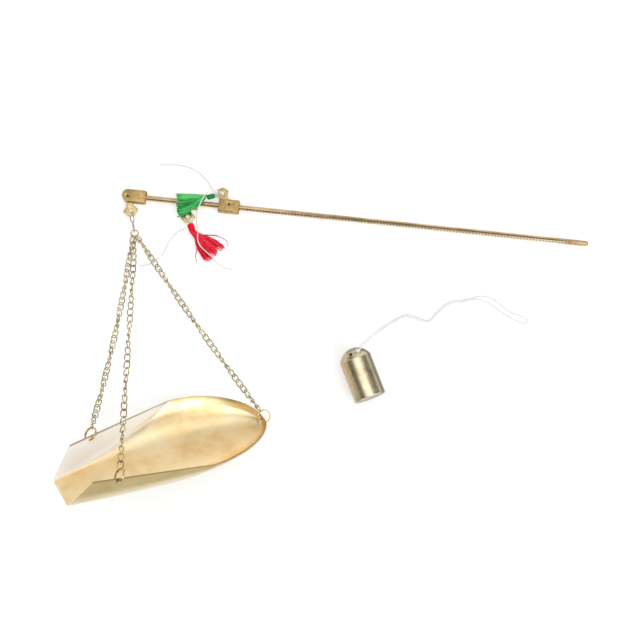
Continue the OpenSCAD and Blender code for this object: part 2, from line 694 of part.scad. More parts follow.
// The grips' cords are placed from the start of their bound heads, at heights above the table
function from_head(head, route) = [for (p = route) [head.x + p.x, head.y + p.y, p.z]];
green_up_route = from_head(green_from, [[-0.69, 1.72, 4.99], [-1.3, 3.2, 5.2], [-3.9, 7.1, 3.6],
    [-7.9, 12.1, 1.8], [-13.3, 16.1, 0.8], [-19, 18.5, 0.5], [-24.6, 19.4, 0.5],
    [-29.3, 19.5, 0.5], [-39.3, 18.4, 0.5]]);
green_down_route = from_head(green_from, [[-3.7, 0, 9.4], [-4.9, -1.5, 9.9], [-6.4, -4.6, 10.1],
    [-7.8, -8.4, 9.8], [-9.3, -12.4, 7.4], [-9.8, -15.9, 4.4], [-9.2, -19.6, 3.2],
    [-8.1, -23.3, 4], [-7.3, -27.1, 5.2], [-6.8, -31.6, 5.6], [-4.7, -35.4, 5.6],
    [-1.1, -38.4, 5.5], [2.9, -41.1, 5], [6.5, -44, 3.4], [10, -46.4, 1.2], [14.1, -47.5, 0.5],
    [17.7, -47.7, 0.5]]);
red_route = from_head(red_from, [[-3, -3, 1.6], [-5.4, -4.2, 0.8], [-8.1, -6.1, 0.5],
    [-11, -9.9, 0.5], [-12.9, -14, 0.5], [-15.4, -21.4, 0.5], [-19.2, -25.8, 0.5],
    [-22.9, -29, 0.5], [-26.8, -30.6, 0.5], [-29.6, -31, 0.5]]);

module weight_cord() color(white) tube(weight_route, cord_d);
module green_cord_up() color(white) tube(green_up_route, cord_d);
module green_cord_down() color(white) tube(green_down_route, cord_d);
module red_cord() color(white) tube(red_route, cord_d);

// Tassels. A tie is an oval loop of cord through the eye and round the plate's edge.

tie_in = eye_d / 2 - cord_d / 2 - 0.1;
tie_rise = plate_t / 2 + cord_d / 2 + 0.15;
tie_points = 20;

module tie(eye, angle, reach) {
    mid = (tie_in + reach - cord_d / 2) / 2;
    half = mid - tie_in;
    way = [cos(angle), sin(angle), 0];
    side = [-sin(angle), cos(angle), 0];
    function oval(a) = eye + way * (mid + half * sign(cos(a)) * pow(abs(cos(a)), 0.8))
        + [0, 0, tie_rise * sign(sin(a)) * pow(abs(sin(a)), 0.5)];
    centre = eye + way * mid;
    rings = [for (i = [0:tie_points - 1])
        let (a = 360 * (i + 0.5) / tie_points, p = oval(a), q = oval(a + 1) - oval(a - 1),
             out = unit(cross(q, side)))
        [for (k = [0:5]) p + cord_d / 2 * (cos(60 * k) * out + sin(60 * k) * side)]];
    points = [for (r = rings) each r];
    faces = [for (i = [0:tie_points - 1], k = [0:5])
        let (a = i * 6 + k, b = i * 6 + (k + 1) % 6, j = (i + 1) % tie_points,
             c = j * 6 + (k + 1) % 6, d = j * 6 + k)
        each [[a, c, b], [a, d, c]]];
    polyhedron(points, faces, convexity = 6);
}

// A bound head: a barrel with five turns of binding, standing on its own Z
module bound_head(r, length) {
    turns = 5;
    step = length / turns;
    rotate_extrude($fn = 48) {
        square([r - 0.3, length]);
        intersection() {
            union() for (i = [0:turns - 1])
                translate([r - 0.3, step * (i + 0.5)]) circle(d = step, $fn = 24);
            square([r + 1, length]);
        }
    }
}

module along(from, to) {
    d = to - from;
    translate(from) rotate([0, acos(d.z / norm(d)), atan2(d.y, d.x)]) children();
}

// Skirt of a tassel: rings between two edges, each ring ribbed and flattened
function skirt_ring(left, right, thick, rib, lift) =
    let (c = (left + right) / 2, h = (left - right) / 2, n = skirt_ribs * 4)
    [for (k = [0:n - 1])
        let (a = 360 * k / n, r = 1 + rib * cos(skirt_ribs * a),
             y = sin(a), z = sign(y) * pow(abs(y), 0.7))
        c + h * cos(a) * r + [0, 0, thick / 2 * z * r + lift]];

module skirt(top, left, right, thick, rib) {
    translate(top) loft([for (i = [0:len(left) - 1])
        skirt_ring(left[i], right[i], thick[i], i == 0 ? 0 : rib, 0)]);
}

module green_tie() color(white) tie(upper_eye, green_way, green_reach);
module green_binding() color(green) along(green_from, green_to) bound_head(green_head_r, head_l);
module red_tie() color(white) tie(lower_eye, red_way, red_reach);
module red_binding() color(red) along(red_from, red_to) bound_head(red_head_r, head_l);

module green_tassel() color(green)
skirt(green_to,
    [[-0.8, 2, 0.4], [-3.7, 1.3, 1.5], [-7.7, 0.9, 1.6], [-13.7, 0.3, 1.5], [-20.3, -0.1, 1.3]],
    [[-1.6, -1.6, 0.4], [-4.1, -6.3, 1.6], [-7.7, -9.5, 1.6], [-12.7, -13.1, 1.4],
     [-17.7, -15.7, 1.1]],
    [2.6, 3.2, 3.4, 3.2, 2.8], 0.05);

module red_tassel() color(red)
skirt(red_to,
    [[1.7, 0.7, 0], [4.9, -0.9, -0.1], [10.5, -2.5, -0.1], [16.5, -5.1, -0.2],
     [21.8, -7.7, -0.3]],
    [[-1.8, -1.1, 0], [1.9, -4.9, -0.1], [3.5, -9.3, -0.1], [6.9, -14.5, -0.2], [10.7, -19.1, -0.3]],
    [3.4, 3.8, 4, 3.8, 3.4], 0.05);

beam_rod();
tip_plug();
scale_marks();
head_bracket();
lower_bracket();
upper_bracket();
head_pin();
lower_pin();
upper_pin();
load_hanger();
lower_hanger();
upper_hanger();
load_hook();
top_ring();
chain_far();
chain_near();
chain_back();
pan_ring_far();
pan_ring_near();
pan_ring_back();
pan();
weight();
weight_knot();
weight_cord();
green_tie();
green_binding();
green_tassel();
green_cord_up();
green_cord_down();
red_tie();
red_binding();
red_tassel();
red_cord();
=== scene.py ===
# %% [markdown]
# # A small brass steelyard, laid out on a white table
# A steelyard is a weighing beam with arms of unequal length. The goods go in the scoop
# shaped pan, and a counterweight on a loop of cord is moved along the marks of the long arm
# until the beam hangs level. Here it lies flat, as it is photographed for a shop.
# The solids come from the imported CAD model. This file adds what makes them look real:
# twisted chain links, spun cords, tassels made of single threads, a smooth sheet brass pan
# and a finish for every metal. Lengths are in millimetres until they become a mesh; shaders
# and lamps count in metres.

# %% Load the frame
import math

import bmesh
import bpy
import numpy as np
from mathutils import Matrix, Vector, kdtree


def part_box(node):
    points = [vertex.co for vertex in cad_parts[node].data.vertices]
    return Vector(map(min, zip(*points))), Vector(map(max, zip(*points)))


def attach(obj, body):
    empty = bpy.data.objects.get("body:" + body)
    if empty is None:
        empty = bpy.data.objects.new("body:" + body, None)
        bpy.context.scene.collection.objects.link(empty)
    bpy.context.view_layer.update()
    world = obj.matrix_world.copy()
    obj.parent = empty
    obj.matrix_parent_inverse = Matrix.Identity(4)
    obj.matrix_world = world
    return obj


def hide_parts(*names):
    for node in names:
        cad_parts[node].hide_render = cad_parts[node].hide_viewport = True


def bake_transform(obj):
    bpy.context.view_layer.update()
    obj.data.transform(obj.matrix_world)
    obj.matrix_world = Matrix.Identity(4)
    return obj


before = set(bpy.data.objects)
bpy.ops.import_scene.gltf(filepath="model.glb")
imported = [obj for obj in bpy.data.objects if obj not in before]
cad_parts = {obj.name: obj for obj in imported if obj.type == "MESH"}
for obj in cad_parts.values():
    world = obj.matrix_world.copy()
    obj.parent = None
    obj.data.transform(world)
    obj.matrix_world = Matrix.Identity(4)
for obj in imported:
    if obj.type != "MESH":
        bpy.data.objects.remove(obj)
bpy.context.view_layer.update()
MM = 0.001


def put_in_scene(name, data):
    thing = bpy.data.objects.new(name, data)
    bpy.context.scene.collection.objects.link(thing)
    return thing


# %% [markdown]
# ## The camera
# The steelyard was photographed from above, with the camera leaning 11 degrees towards the
# viewer and turned 6 degrees against the beam. A camera can be placed with an empty to track,
# but here its own three axes are known, so its matrix is written out.

# %% Camera
camera_data = bpy.data.cameras.new("camera")
camera = put_in_scene("camera", camera_data)
camera_at = Vector((81.7, -198.0, 667.5)) * MM
looks_at = Vector((67.9, -69.0, 0)) * MM
camera_right = Vector((0.994, 0.107, 0)).normalized()
camera_back = (camera_at - looks_at).normalized()
camera_right = (camera_right - camera_right.dot(camera_back) * camera_back).normalized()
camera_up = camera_back.cross(camera_right)
turned = Matrix((camera_right, camera_up, camera_back)).transposed().to_4x4()
camera.matrix_world = Matrix.Translation(camera_at) @ turned
camera_data.sensor_width = 36
camera_data.lens = 58.85
camera_data.clip_start = 0.01
camera_data.clip_end = 20
bpy.context.scene.camera = camera
bpy.context.scene.view_settings.view_transform = "Standard"
print("camera looks down along", [round(v, 3) for v in -camera_back])


# %% [markdown]
# ## Node helpers
# Every finish below is a small net of shader nodes. Wiring each one by hand is slow to read,
# so a helper stands for each kind of step: start a material, place a pattern, turn it into a
# colour or a range of values, do arithmetic, mask a stretch, or mix two colours. All patterns
# read Object coordinates, so they stay where they are when a piece moves.

# %% Material helpers
def opened(material):
    """A material's net and the shader in it."""
    net = material.node_tree
    return net, net.nodes["Principled BSDF"]


def new_material(name):
    material = bpy.data.materials.new(name)
    material.use_nodes = True
    return material, *opened(material)


def add(net, kind, sockets=(), **settings):
    node = net.nodes.new(kind)
    for key, value in settings.items():
        setattr(node, key, value)
    for key, value in dict(sockets).items():
        node.inputs[key].default_value = value
    return node


def feed(net, socket, value):
    """Join another node's output to a socket, or set the socket to a number or a colour."""
    if isinstance(value, bpy.types.NodeSocket):
        net.links.new(value, socket)
    else:
        socket.default_value = (*value, 1) if isinstance(value, tuple) else value


def calc(net, operation, *values):
    node = add(net, "ShaderNodeMath", operation=operation)
    for socket, value in zip(node.inputs, values):
        feed(net, socket, value)
    return node.outputs["Value"]


def product(net, total, *others):
    for value in others:
        total = calc(net, "MULTIPLY", total, value)
    return total


def place(net, scale=(1, 1, 1)):
    """Object coordinates, stretched for a pattern."""
    here = add(net, "ShaderNodeTexCoord")
    mapping = add(net, "ShaderNodeMapping", {"Scale": scale})
    net.links.new(here.outputs["Object"], mapping.inputs["Vector"])
    return mapping.outputs["Vector"]


def split(net, where):
    """The X, Y and Z of a place."""
    node = add(net, "ShaderNodeSeparateXYZ")
    net.links.new(where, node.inputs["Vector"])
    return node.outputs


def reach(net, where, way):
    """How far a place lies along a direction."""
    node = add(net, "ShaderNodeVectorMath", {1: way}, operation="DOT_PRODUCT")
    net.links.new(where, node.inputs[0])
    return node.outputs["Value"]


def attribute(net, name):
    return add(net, "ShaderNodeAttribute", attribute_name=name).outputs["Fac"]


def noise(net, where, scale, detail=3.0, rough=0.5):
    node = add(net, "ShaderNodeTexNoise", {"Scale": scale, "Detail": detail, "Roughness": rough})
    net.links.new(where, node.inputs["Vector"])
    return node.outputs["Fac"]


def ramp(net, value, stops):
    node = add(net, "ShaderNodeValToRGB")
    marks = node.color_ramp.elements
    while len(marks) < len(stops):
        marks.new(0.5)
    for mark, (at, colour) in zip(marks, stops):
        mark.position = at
        mark.color = (*colour, 1)
    net.links.new(value, node.inputs["Fac"])
    return node.outputs["Color"]


def spread(net, value, low, high, start=0.3, end=0.7):
    node = add(net, "ShaderNodeMapRange",
               {"From Min": start, "From Max": end, "To Min": low, "To Max": high})
    net.links.new(value, node.inputs["Value"])
    return node.outputs["Result"]


def mask_between(net, value, low, high, soft):
    """1 from low to high, and 0 beyond the soft edges."""
    return product(net, spread(net, value, 0, 1, low - soft, low + soft),
                   spread(net, value, 1, 0, high - soft, high + soft))


def mix_colour(net, mask, first, second):
    node = add(net, "ShaderNodeMix", data_type="RGBA")
    net.links.new(mask, node.inputs["Factor"])
    feed(net, node.inputs["A"], first)
    feed(net, node.inputs["B"], second)
    return node.outputs["Result"]


def colour_into(shader):
    """What already colours a shader."""
    return shader.inputs["Base Color"].links[0].from_socket


def bump(net, height, strength, distance, below=None):
    node = add(net, "ShaderNodeBump", {"Strength": strength, "Distance": distance})
    net.links.new(height, node.inputs["Height"])
    if below is not None:
        net.links.new(below, node.inputs["Normal"])
    return node.outputs["Normal"]


# %% [markdown]
# ## Metals
# Brass is never one colour. Handling leaves darker, browner patches, polishing leaves fine
# lines, and a rolled sheet is a little wavy, which bends what it mirrors. The same recipe
# serves every metal here: a patchy colour, a patchy roughness, fine lines as a bump, and a
# slow wave as a second bump. Only the numbers change.

# %% The metal recipe
SMUDGES_PER_PATCH = 2.3
LINE_HEIGHT = 0.00002


def metal(name, colours, rough, patch=180.0, lines=(1, 1, 1), line_scale=2600.0,
          line_depth=0.25, wave=0.0, wave_scale=45.0, wave_height=0.0004):
    material, net, shader = new_material(name)
    shader.inputs["Metallic"].default_value = 1.0
    where = place(net)
    patches = noise(net, where, patch, 4.0, 0.6)
    ends = (0.32, 0.68)
    places = np.linspace(*ends, len(colours)).tolist()
    net.links.new(ramp(net, patches, list(zip(places, colours))), shader.inputs["Base Color"])
    smudges = noise(net, where, patch * SMUDGES_PER_PATCH, 5.0, 0.65)
    net.links.new(spread(net, smudges, *rough), shader.inputs["Roughness"])
    fine = noise(net, place(net, lines), line_scale, 2.0, 0.5)
    normal = bump(net, fine, line_depth, LINE_HEIGHT)
    if wave:
        slow = noise(net, where, wave_scale, 1.5, 0.4)
        normal = bump(net, slow, wave, wave_height, normal)
    net.links.new(normal, shader.inputs["Normal"])
    return material


rod_finish = metal("rod_brass_finish", [(0.42, 0.29, 0.15), (0.58, 0.42, 0.24), (0.70, 0.53, 0.33)],
                   (0.24, 0.38), patch=90.0, lines=(0.08, 1, 1))
dull_finish = metal("dull_brass_finish",
                    [(0.42, 0.29, 0.12), (0.50, 0.35, 0.15), (0.58, 0.42, 0.19)],
                    (0.38, 0.60), patch=420.0, lines=(0.3, 1, 1), line_depth=0.7)
plate_finish = metal("plate_brass_finish",
                     [(0.40, 0.32, 0.13), (0.57, 0.46, 0.22), (0.68, 0.55, 0.29)],
                     (0.30, 0.46), patch=300.0, line_depth=0.4)
chain_finish = metal("chain_brass_finish",
                     [(0.25, 0.21, 0.11), (0.48, 0.40, 0.22), (0.77, 0.65, 0.40)],
                     (0.16, 0.30), patch=220.0)
ring_finish = metal("ring_brass_finish", [(0.42, 0.31, 0.12), (0.80, 0.62, 0.30)],
                    (0.14, 0.28), patch=240.0)
steel_finish = metal("steel_finish", [(0.30, 0.30, 0.30), (0.52, 0.52, 0.53)],
                     (0.22, 0.38), patch=320.0)
pin_finish = metal("pin_steel_finish", [(0.06, 0.05, 0.04), (0.16, 0.13, 0.09)],
                   (0.45, 0.65), patch=400.0)
weight_finish = metal("weight_brass_finish",
                      [(0.50, 0.44, 0.28), (0.66, 0.58, 0.39), (0.78, 0.70, 0.50)],
                      (0.20, 0.30), patch=110.0, lines=(0.05, 1, 1), line_depth=0.6,
                      wave=0.25, wave_scale=90.0)
print("metal finishes:", [m.name for m in bpy.data.materials if "finish" in m.name])


# %% [markdown]
# ## Carried over pieces with softened edges
# The CAD solids of the brackets, hangers, pins, hook and counterweight have the right shape,
# but their edges are perfectly sharp, and no real edge is. A sharp edge never catches the
# light. A copy of the solid gets its loose triangles merged and a narrow bevel on every edge
# that is sharper than 30 degrees, except on the hook, which is round wire. The CAD node is
# then hidden and the copy stands for it.

# %% A bevelled copy of a solid
SAME_POINT = 0.000002
FLAT_ANGLE = 0.5
SHARP_ANGLE = 30


def deselect():
    if bpy.context.object and bpy.context.object.mode != "OBJECT":
        bpy.ops.object.mode_set(mode="OBJECT")
    bpy.ops.object.select_all(action="DESELECT")


def select(piece):
    deselect()
    piece.select_set(True)
    bpy.context.view_layer.objects.active = piece


def cleaned(piece, same_point, flat_angle=0):
    """Merge points at the same place and flat faces, and turn every face outwards."""
    select(piece)
    bpy.ops.object.mode_set(mode="EDIT")
    bpy.ops.mesh.select_all(action="SELECT")
    bpy.ops.mesh.remove_doubles(threshold=same_point)
    if flat_angle:
        bpy.ops.mesh.dissolve_limited(angle_limit=math.radians(flat_angle))
    bpy.ops.mesh.normals_make_consistent(inside=False)
    bpy.ops.object.mode_set(mode="OBJECT")


def modified(piece, kind, **settings):
    """Add a modifier, set it and apply it."""
    modifier = piece.modifiers.new(kind, kind)
    for key, value in settings.items():
        setattr(modifier, key, value)
    select(piece)
    bpy.ops.object.modifier_apply(modifier=modifier.name)


def smooth_by_angle(piece, degrees):
    select(piece)
    bpy.ops.object.shade_smooth_by_angle(angle=math.radians(degrees))


def finish_piece(piece, body, material, slot, *stands_for):
    piece.data.materials.clear()
    piece.data.materials.append(material)
    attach(piece, body)
    if stands_for:
        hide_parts(*stands_for)
    return piece


def dressed(node, body, material, slot, edge):
    piece = put_in_scene(node + "_dressed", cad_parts[node].data.copy())
    cleaned(piece, SAME_POINT, FLAT_ANGLE)
    if edge:
        modified(piece, "BEVEL", width=edge * MM, segments=2, limit_method="ANGLE",
                 angle_limit=math.radians(SHARP_ANGLE))
    smooth_by_angle(piece, 35)
    return finish_piece(piece, body, material, slot, node)


for node in ("head_bracket", "lower_bracket", "upper_bracket"):
    dressed(node, "beam", dull_finish, "dull_brass", 0.14)
for node, body in (("load_hanger", "load_link"), ("lower_hanger", "lower_grip"),
                   ("upper_hanger", "upper_grip")):
    dressed(node, body, plate_finish, "plate_brass", 0.12)
for node in ("head_pin", "lower_pin", "upper_pin"):
    dressed(node, "beam", pin_finish, "pin_steel", 0.1)
dressed("weight", "counterweight", weight_finish, "weight_brass", 0.12)
dressed("load_hook", "hook", steel_finish, "hook_steel", 0)


# %% [markdown]
# ## The rod and its scale
# The rod is drawn brass wire, 3.5 mm thick. Its scale is a row of tiny punched dots. Near the
# brackets they are black with grime, and along the outer arm, where the counterweight's cord
# slides, they are rubbed pale. Along that arm the rod's scale side is painted pale and a line
# beside it is painted dark: both are painted reflections. A few places are daubed with
# red paint so that the eye finds the larger steps. All of this is thin, so it is colour in the
# rod's material: masks pick stretches along X, and others keep to one side of the rod.

# %% Paint, grime, wear and painted reflections on the rod
FIRST_MARK = 12.6
MARK_STEP = 2.1
SCALE_SPAN = (12.0, 229.6)
SCALE_SIDE = (-1.8, -0.7)
# Where the dark line of painted reflection runs, across the rod
DARK_BAND_SPAN = (-0.7, 0.3)
# The stretch along the outer arm with rubbed dots and the painted reflection bands
WEAR_AND_BAND_FROM = (0.020, 0.085)
WEAR_AND_BAND_TO = (0.214, 0.231)
DAUBS = [(27.6, 33.0), (45.0, 47.2), (59.8, 63.8), (92.5, 94.2), (222.6, 226.2)]
RED_PAINT = (0.46, 0.06, 0.045)
GRIME = (0.16, 0.08, 0.045)
# A pale band on the scale side and a dark line beside it are painted reflections
PAINTED_PALE_BAND = (0.96, 0.86, 0.66)
PAINTED_DARK_BAND = (0.09, 0.06, 0.016)


def stretch(net, value, span, soft):
    """1 within a span in mm, and 0 beyond its soft edges."""
    return mask_between(net, value, span[0] * MM, span[1] * MM, soft * MM)


net, shader = opened(rod_finish)
along, sideways, _ = split(net, place(net))
side = stretch(net, sideways, SCALE_SIDE, 0.2)
ragged = spread(net, noise(net, place(net), 1600.0, 3.0), 0, 0.8, 0.46, 0.58)
paint = 0.0
for span in DAUBS:
    paint = calc(net, "MAXIMUM", paint, stretch(net, along, span, 0.4))
paint = product(net, paint, side, ragged)
from_gap = calc(net, "SUBTRACT", along, (FIRST_MARK - MARK_STEP / 2) * MM)
in_step = calc(net, "FRACT", calc(net, "DIVIDE", from_gap, MARK_STEP * MM))
grime = product(net, mask_between(net, in_step, 0.30, 0.70, 0.10), side,
                stretch(net, along, SCALE_SPAN, 0.2))
wear_and_band_stretch = product(net, spread(net, along, 0, 1, *WEAR_AND_BAND_FROM), spread(net, along, 1, 0, *WEAR_AND_BAND_TO))
# The pale band and the dark line are painted reflections; the grime in the dots and the red paint
# are real
layers = [(product(net, side, wear_and_band_stretch, 0.75), PAINTED_PALE_BAND),
          (product(net, grime, spread(net, wear_and_band_stretch, 0.6, 0.42, 0, 1)), GRIME),
          (product(net, stretch(net, sideways, DARK_BAND_SPAN, 0.15),
                   spread(net, wear_and_band_stretch, 0.15, 0.95, 0, 1)), PAINTED_DARK_BAND),
          (paint, RED_PAINT)]
colour = colour_into(shader)
for mask, tint in layers:
    colour = mix_colour(net, mask, colour, tint)
net.links.new(colour, shader.inputs["Base Color"])
net.links.new(spread(net, paint, 1, 0.1, 0, 1), shader.inputs["Metallic"])
print("daubs of red paint:", len(DAUBS))

# %% The inlay of the dots
inlay_finish, net, shader = new_material("inlay_finish")
shader.inputs["Metallic"].default_value = 0.3
shader.inputs["Roughness"].default_value = 0.55
dots = noise(net, place(net), 900.0, 2.0)
inlay = ramp(net, dots, [(0.35, (0.03, 0.015, 0.01)), (0.65, (0.14, 0.05, 0.03))])
wear_and_band_stretch = spread(net, split(net, place(net))["X"], 0, 0.55, *WEAR_AND_BAND_FROM)
net.links.new(mix_colour(net, wear_and_band_stretch, inlay, (0.42, 0.30, 0.16)), shader.inputs["Base Color"])
for node, material in (("beam_rod", rod_finish), ("tip_plug", rod_finish),
                       ("scale_marks", inlay_finish), ("top_ring", ring_finish)):
    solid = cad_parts[node]
    solid.data.materials.clear()
    solid.data.materials.append(material)
    print(node, "wears", material.name)


# %% [markdown]
# ### The counterweight's painted reflections and shade
# The counterweight is turned from bar and lies on its side. Its flanks are painted darker than its
# top and made less metallic: painted reflections of dark surroundings and painted shade. A mask by
# height keeps the top clean. One flank is painted warm tan and the other dark olive, both painted
# reflections, so a second mask across the weight picks between them.

# %% Painted reflections and shade on the flanks
ACROSS_WEIGHT = (0.949, 0.316, 0)
FLANK_REACH = 0.009
# Below this height the flanks get painted shade and reflection
PAINTED_BELOW = (0.0164, 0.0184)
net, shader = opened(weight_finish)
where = place(net)
low, high = (Vector(corner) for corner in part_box("weight"))
weight_middle = Vector(ACROSS_WEIGHT).dot((low + high) / 2)
across = spread(net, reach(net, where, ACROSS_WEIGHT), 0, 1,
                weight_middle - FLANK_REACH, weight_middle + FLANK_REACH)
# Painted reflections: a warm tan edge on one flank, dark olive over the rest
painted_flank_reflection = ramp(net, across, [(0.05, (0.60, 0.46, 0.28)), (0.15, (0.27, 0.21, 0.11)),
                                  (0.8, (0.12, 0.10, 0.055))])
# Painted shade and reflection low on the flanks; the top keeps the plain metal
painted_flank_mask = spread(net, split(net, where)["Z"], 0.95, 0, *PAINTED_BELOW)
net.links.new(mix_colour(net, painted_flank_mask, colour_into(shader), painted_flank_reflection),
              shader.inputs["Base Color"])
net.links.new(spread(net, painted_flank_mask, 1, 0.25, 0, 1), shader.inputs["Metallic"])
print("weight's middle, across:", round(weight_middle, 4))


# %% [markdown]
# ## Curves through given points
# Cords, threads and the chains all follow a line. A Catmull Rom curve passes through each
# point that is given, so the routes can be read off the table one point at a time.

# %% Curve helpers
def curve_through(points, per_stretch):
    p = np.array(points, float)
    p = np.concatenate([p[:1], p, p[-1:]])
    t = np.arange(per_stretch)[:, None] / per_stretch
    parts = [0.5 * (2 * b + (c - a) * t + (2 * a - 5 * b + 4 * c - d) * t * t
                    + (3 * b - a - 3 * c + d) * t ** 3)
             for a, b, c, d in zip(p, p[1:], p[2:], p[3:])]
    return np.concatenate(parts + [p[-1:]])


def sampled(values, at, marks=None):
    """A list of points, read between its marks, which are 0, 1, 2 and so on if none are given."""
    marks = np.arange(len(values)) if marks is None else marks
    return np.stack([np.interp(at, marks, values[:, i]) for i in range(3)], -1)


def even_steps(path, step):
    """The same path with points at an even distance."""
    gaps = np.linalg.norm(np.diff(path, axis=0), axis=1)
    s = np.concatenate([[0], np.cumsum(gaps)])
    marks = np.linspace(0, s[-1], max(int(round(s[-1] / step)), 2) + 1)
    return sampled(path, marks, s)


def carried_frames(path):
    """Direction, and two sides that are carried along the path without twisting."""
    ahead = np.gradient(path, axis=0)
    ahead /= np.linalg.norm(ahead, axis=1)[:, None]
    side = np.array([0, 0, 1.0]) if abs(ahead[0][2]) < 0.9 else np.array([1.0, 0, 0])
    sides = []
    for d in ahead:
        side = side - (side @ d) * d
        side /= np.linalg.norm(side)
        sides.append(side)
    sides = np.array(sides)
    return ahead, sides, np.cross(ahead, sides)


def tube_arrays(path, radius, around):
    """Points and faces of a closed tube; radius is one number or one for each ring."""
    _, u, v = carried_frames(path)
    radius = np.broadcast_to(np.asarray(radius, float), (len(path),))
    angles = np.arange(around) * 2 * np.pi / around
    rings = path[:, None] + radius[:, None, None] * (
        np.cos(angles)[None, :, None] * u[:, None] + np.sin(angles)[None, :, None] * v[:, None])
    n = len(path)
    faces = [(i * around + k, i * around + (k + 1) % around,
              (i + 1) * around + (k + 1) % around, (i + 1) * around + k)
             for i in range(n - 1) for k in range(around)]
    faces.append(tuple(range(around))[::-1])
    faces.append(tuple((n - 1) * around + k for k in range(around)))
    return rings.reshape(-1, 3), faces


def mesh_piece(name, parts, tones=None):
    """One object from several (points in mm, faces) pairs, with a tone for each part."""
    points, faces, tone, base = [], [], [], 0
    for i, (p, f) in enumerate(parts):
        points.append(p)
        faces += [tuple(k + base for k in face) for face in f]
        tone += [0.5 if tones is None else tones[i]] * len(p)
        base += len(p)
    mesh = bpy.data.meshes.new(name)
    mesh.from_pydata((np.concatenate(points) * MM).tolist(), [], faces)
    mesh.attributes.new("tone", "FLOAT", "POINT").data.foreach_set("value", tone)
    mesh.update()
    piece = put_in_scene(name, mesh)
    select(piece)
    bpy.ops.object.shade_smooth()
    return piece


# %% [markdown]
# ## Cords
# The cords are thin white cotton, three strands twisted together, 0.8 mm across. A smooth
# tube would look like wire, so each cord is three thinner tubes that wind round its line.

# %% Cord material
cord_finish, net, shader = new_material("cord_finish")
shader.inputs["Roughness"].default_value = 0.85
shader.inputs["Sheen Weight"].default_value = 0.3
fibres = noise(net, place(net), 2400.0, 3.0)
net.links.new(ramp(net, fibres, [(0.3, (0.74, 0.74, 0.75)), (0.7, (0.88, 0.88, 0.88))]),
              shader.inputs["Base Color"])
net.links.new(bump(net, fibres, 0.5, 0.00005), shader.inputs["Normal"])


# %% Spin the cords along their routes
CORD_D = 0.8
STRAND_R = CORD_D / 2 / 2.1547
STRAND_OUT = CORD_D / 2 - STRAND_R
LAY = 2.6
CORD_STEP = 0.36
TABLE_UP = 0.5


def spun_cord(name, route):
    """Three strands wound round a route, whose points without a height lie on the table."""
    path = even_steps(curve_through([(*at, TABLE_UP)[:3] for at in route], 12), CORD_STEP)
    _, u, v = carried_frames(path)
    turn = 2 * np.pi * np.arange(len(path)) * CORD_STEP / LAY
    parts = []
    for strand in range(3):
        a = (turn + strand * 2 * np.pi / 3)[:, None]
        parts.append(tube_arrays(path + STRAND_OUT * (np.cos(a) * u + np.sin(a) * v), STRAND_R, 6))
    piece = mesh_piece(name, parts)
    length = float(np.linalg.norm(np.diff(path, axis=0), axis=1).sum()) * MM
    return piece, path * MM, length


weight_route = [
    (94.5, -87.9, 19.8), (96, -85.2, 17.6), (98.3, -81.6, 11), (101, -77.4, 4.5),
    (105, -73, 1.2), (111, -67.4), (118.5, -61.9), (123, -59.6), (128.5, -60.1), (133.5, -61.4),
    (138, -61.5), (142, -56.8), (147.3, -50.6), (152.7, -47.3), (158, -46.2), (166.5, -43.5),
    (171, -42.1), (175.6, -42.2), (180.4, -44), (185.4, -47.7), (191, -50.9), (197, -52.4),
    (201, -54.2), (201.6, -56.2), (199.5, -57.2), (195.2, -56), (190.5, -54.2), (184.7, -51.1),
    (179, -47.6), (173, -44.9), (166.5, -44.7), (158.4, -47.3), (153.2, -48.4), (148.2, -51.5),
    (142.9, -57.5), (138.6, -62.5), (133.3, -62.6), (128.3, -61.3), (123.4, -60.8),
    (119.2, -62.9), (111.8, -68.3), (105.9, -73.8, 1.2), (102, -78, 4.5), (99.3, -82.2, 11),
    (97.1, -85.8, 17.4), (95.5, -88.5, 19.5)]
green_up_route = [
    (-11.2, 7.83, 4.99), (-11.8, 9.3, 5.2), (-14.4, 13.2, 3.6), (-18.4, 18.2, 1.8),
    (-23.8, 22.2, 0.8), (-29.5, 24.6), (-35.1, 25.5), (-39.8, 25.6), (-49.8, 24.5)]
green_down_route = [
    (-14.2, 6.1, 9.4), (-15.4, 4.6, 9.9), (-16.9, 1.5, 10.1), (-18.3, -2.3, 9.8),
    (-19.8, -6.3, 7.4), (-20.3, -9.8, 4.4), (-19.7, -13.5, 3.2), (-18.6, -17.2, 4),
    (-17.8, -21, 5.2), (-17.3, -25.5, 5.6), (-15.2, -29.3, 5.6), (-11.6, -32.3, 5.5),
    (-7.6, -35, 5), (-4, -37.9, 3.4), (-0.5, -40.3, 1.2), (3.6, -41.4), (7.2, -41.6)]
red_route = [
    (-27, -17.6, 1.6), (-29.4, -18.8, 0.8), (-32.1, -20.7), (-35, -24.5), (-36.9, -28.6),
    (-39.4, -36), (-43.2, -40.4), (-46.9, -43.6), (-50.8, -45.2), (-53.6, -45.6)]

weight_cord, weight_path, weight_length = spun_cord("weight_cord_spun", weight_route)
finish_piece(weight_cord, "counterweight", cord_finish, "white_cord", "weight_cord")
for node, route, grip, bends_for in (("green_cord_up", green_up_route, "upper_grip", 60),
                                     ("green_cord_down", green_down_route, "upper_grip", 60),
                                     ("red_cord", red_route, "lower_grip", 30)):
    piece, path, length = spun_cord(node + "_spun", route)
    piece.data.materials.append(cord_finish)
    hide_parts(node)
    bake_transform(piece)
    print(node, "is", round(length, 4), "m long")


# %% [markdown]
# ## The chains
# Each chain is made of twisted oval links, so that they lie flatter than plain ones. A torus
# is the natural start: its two halves are pulled apart to make an oval, and a twist along its
# length gives the turn. The link is made once for each chain. Each copy is turned a little more
# than the one before it, which is why a chain shows some links face on and some edge on.

# %% One link
LINK_LEN = 6.37
LINK_W = 4.1
LINK_WIRE = 0.75
LINK_HANG = 0.8
ROLL = 25
LINKS = 35


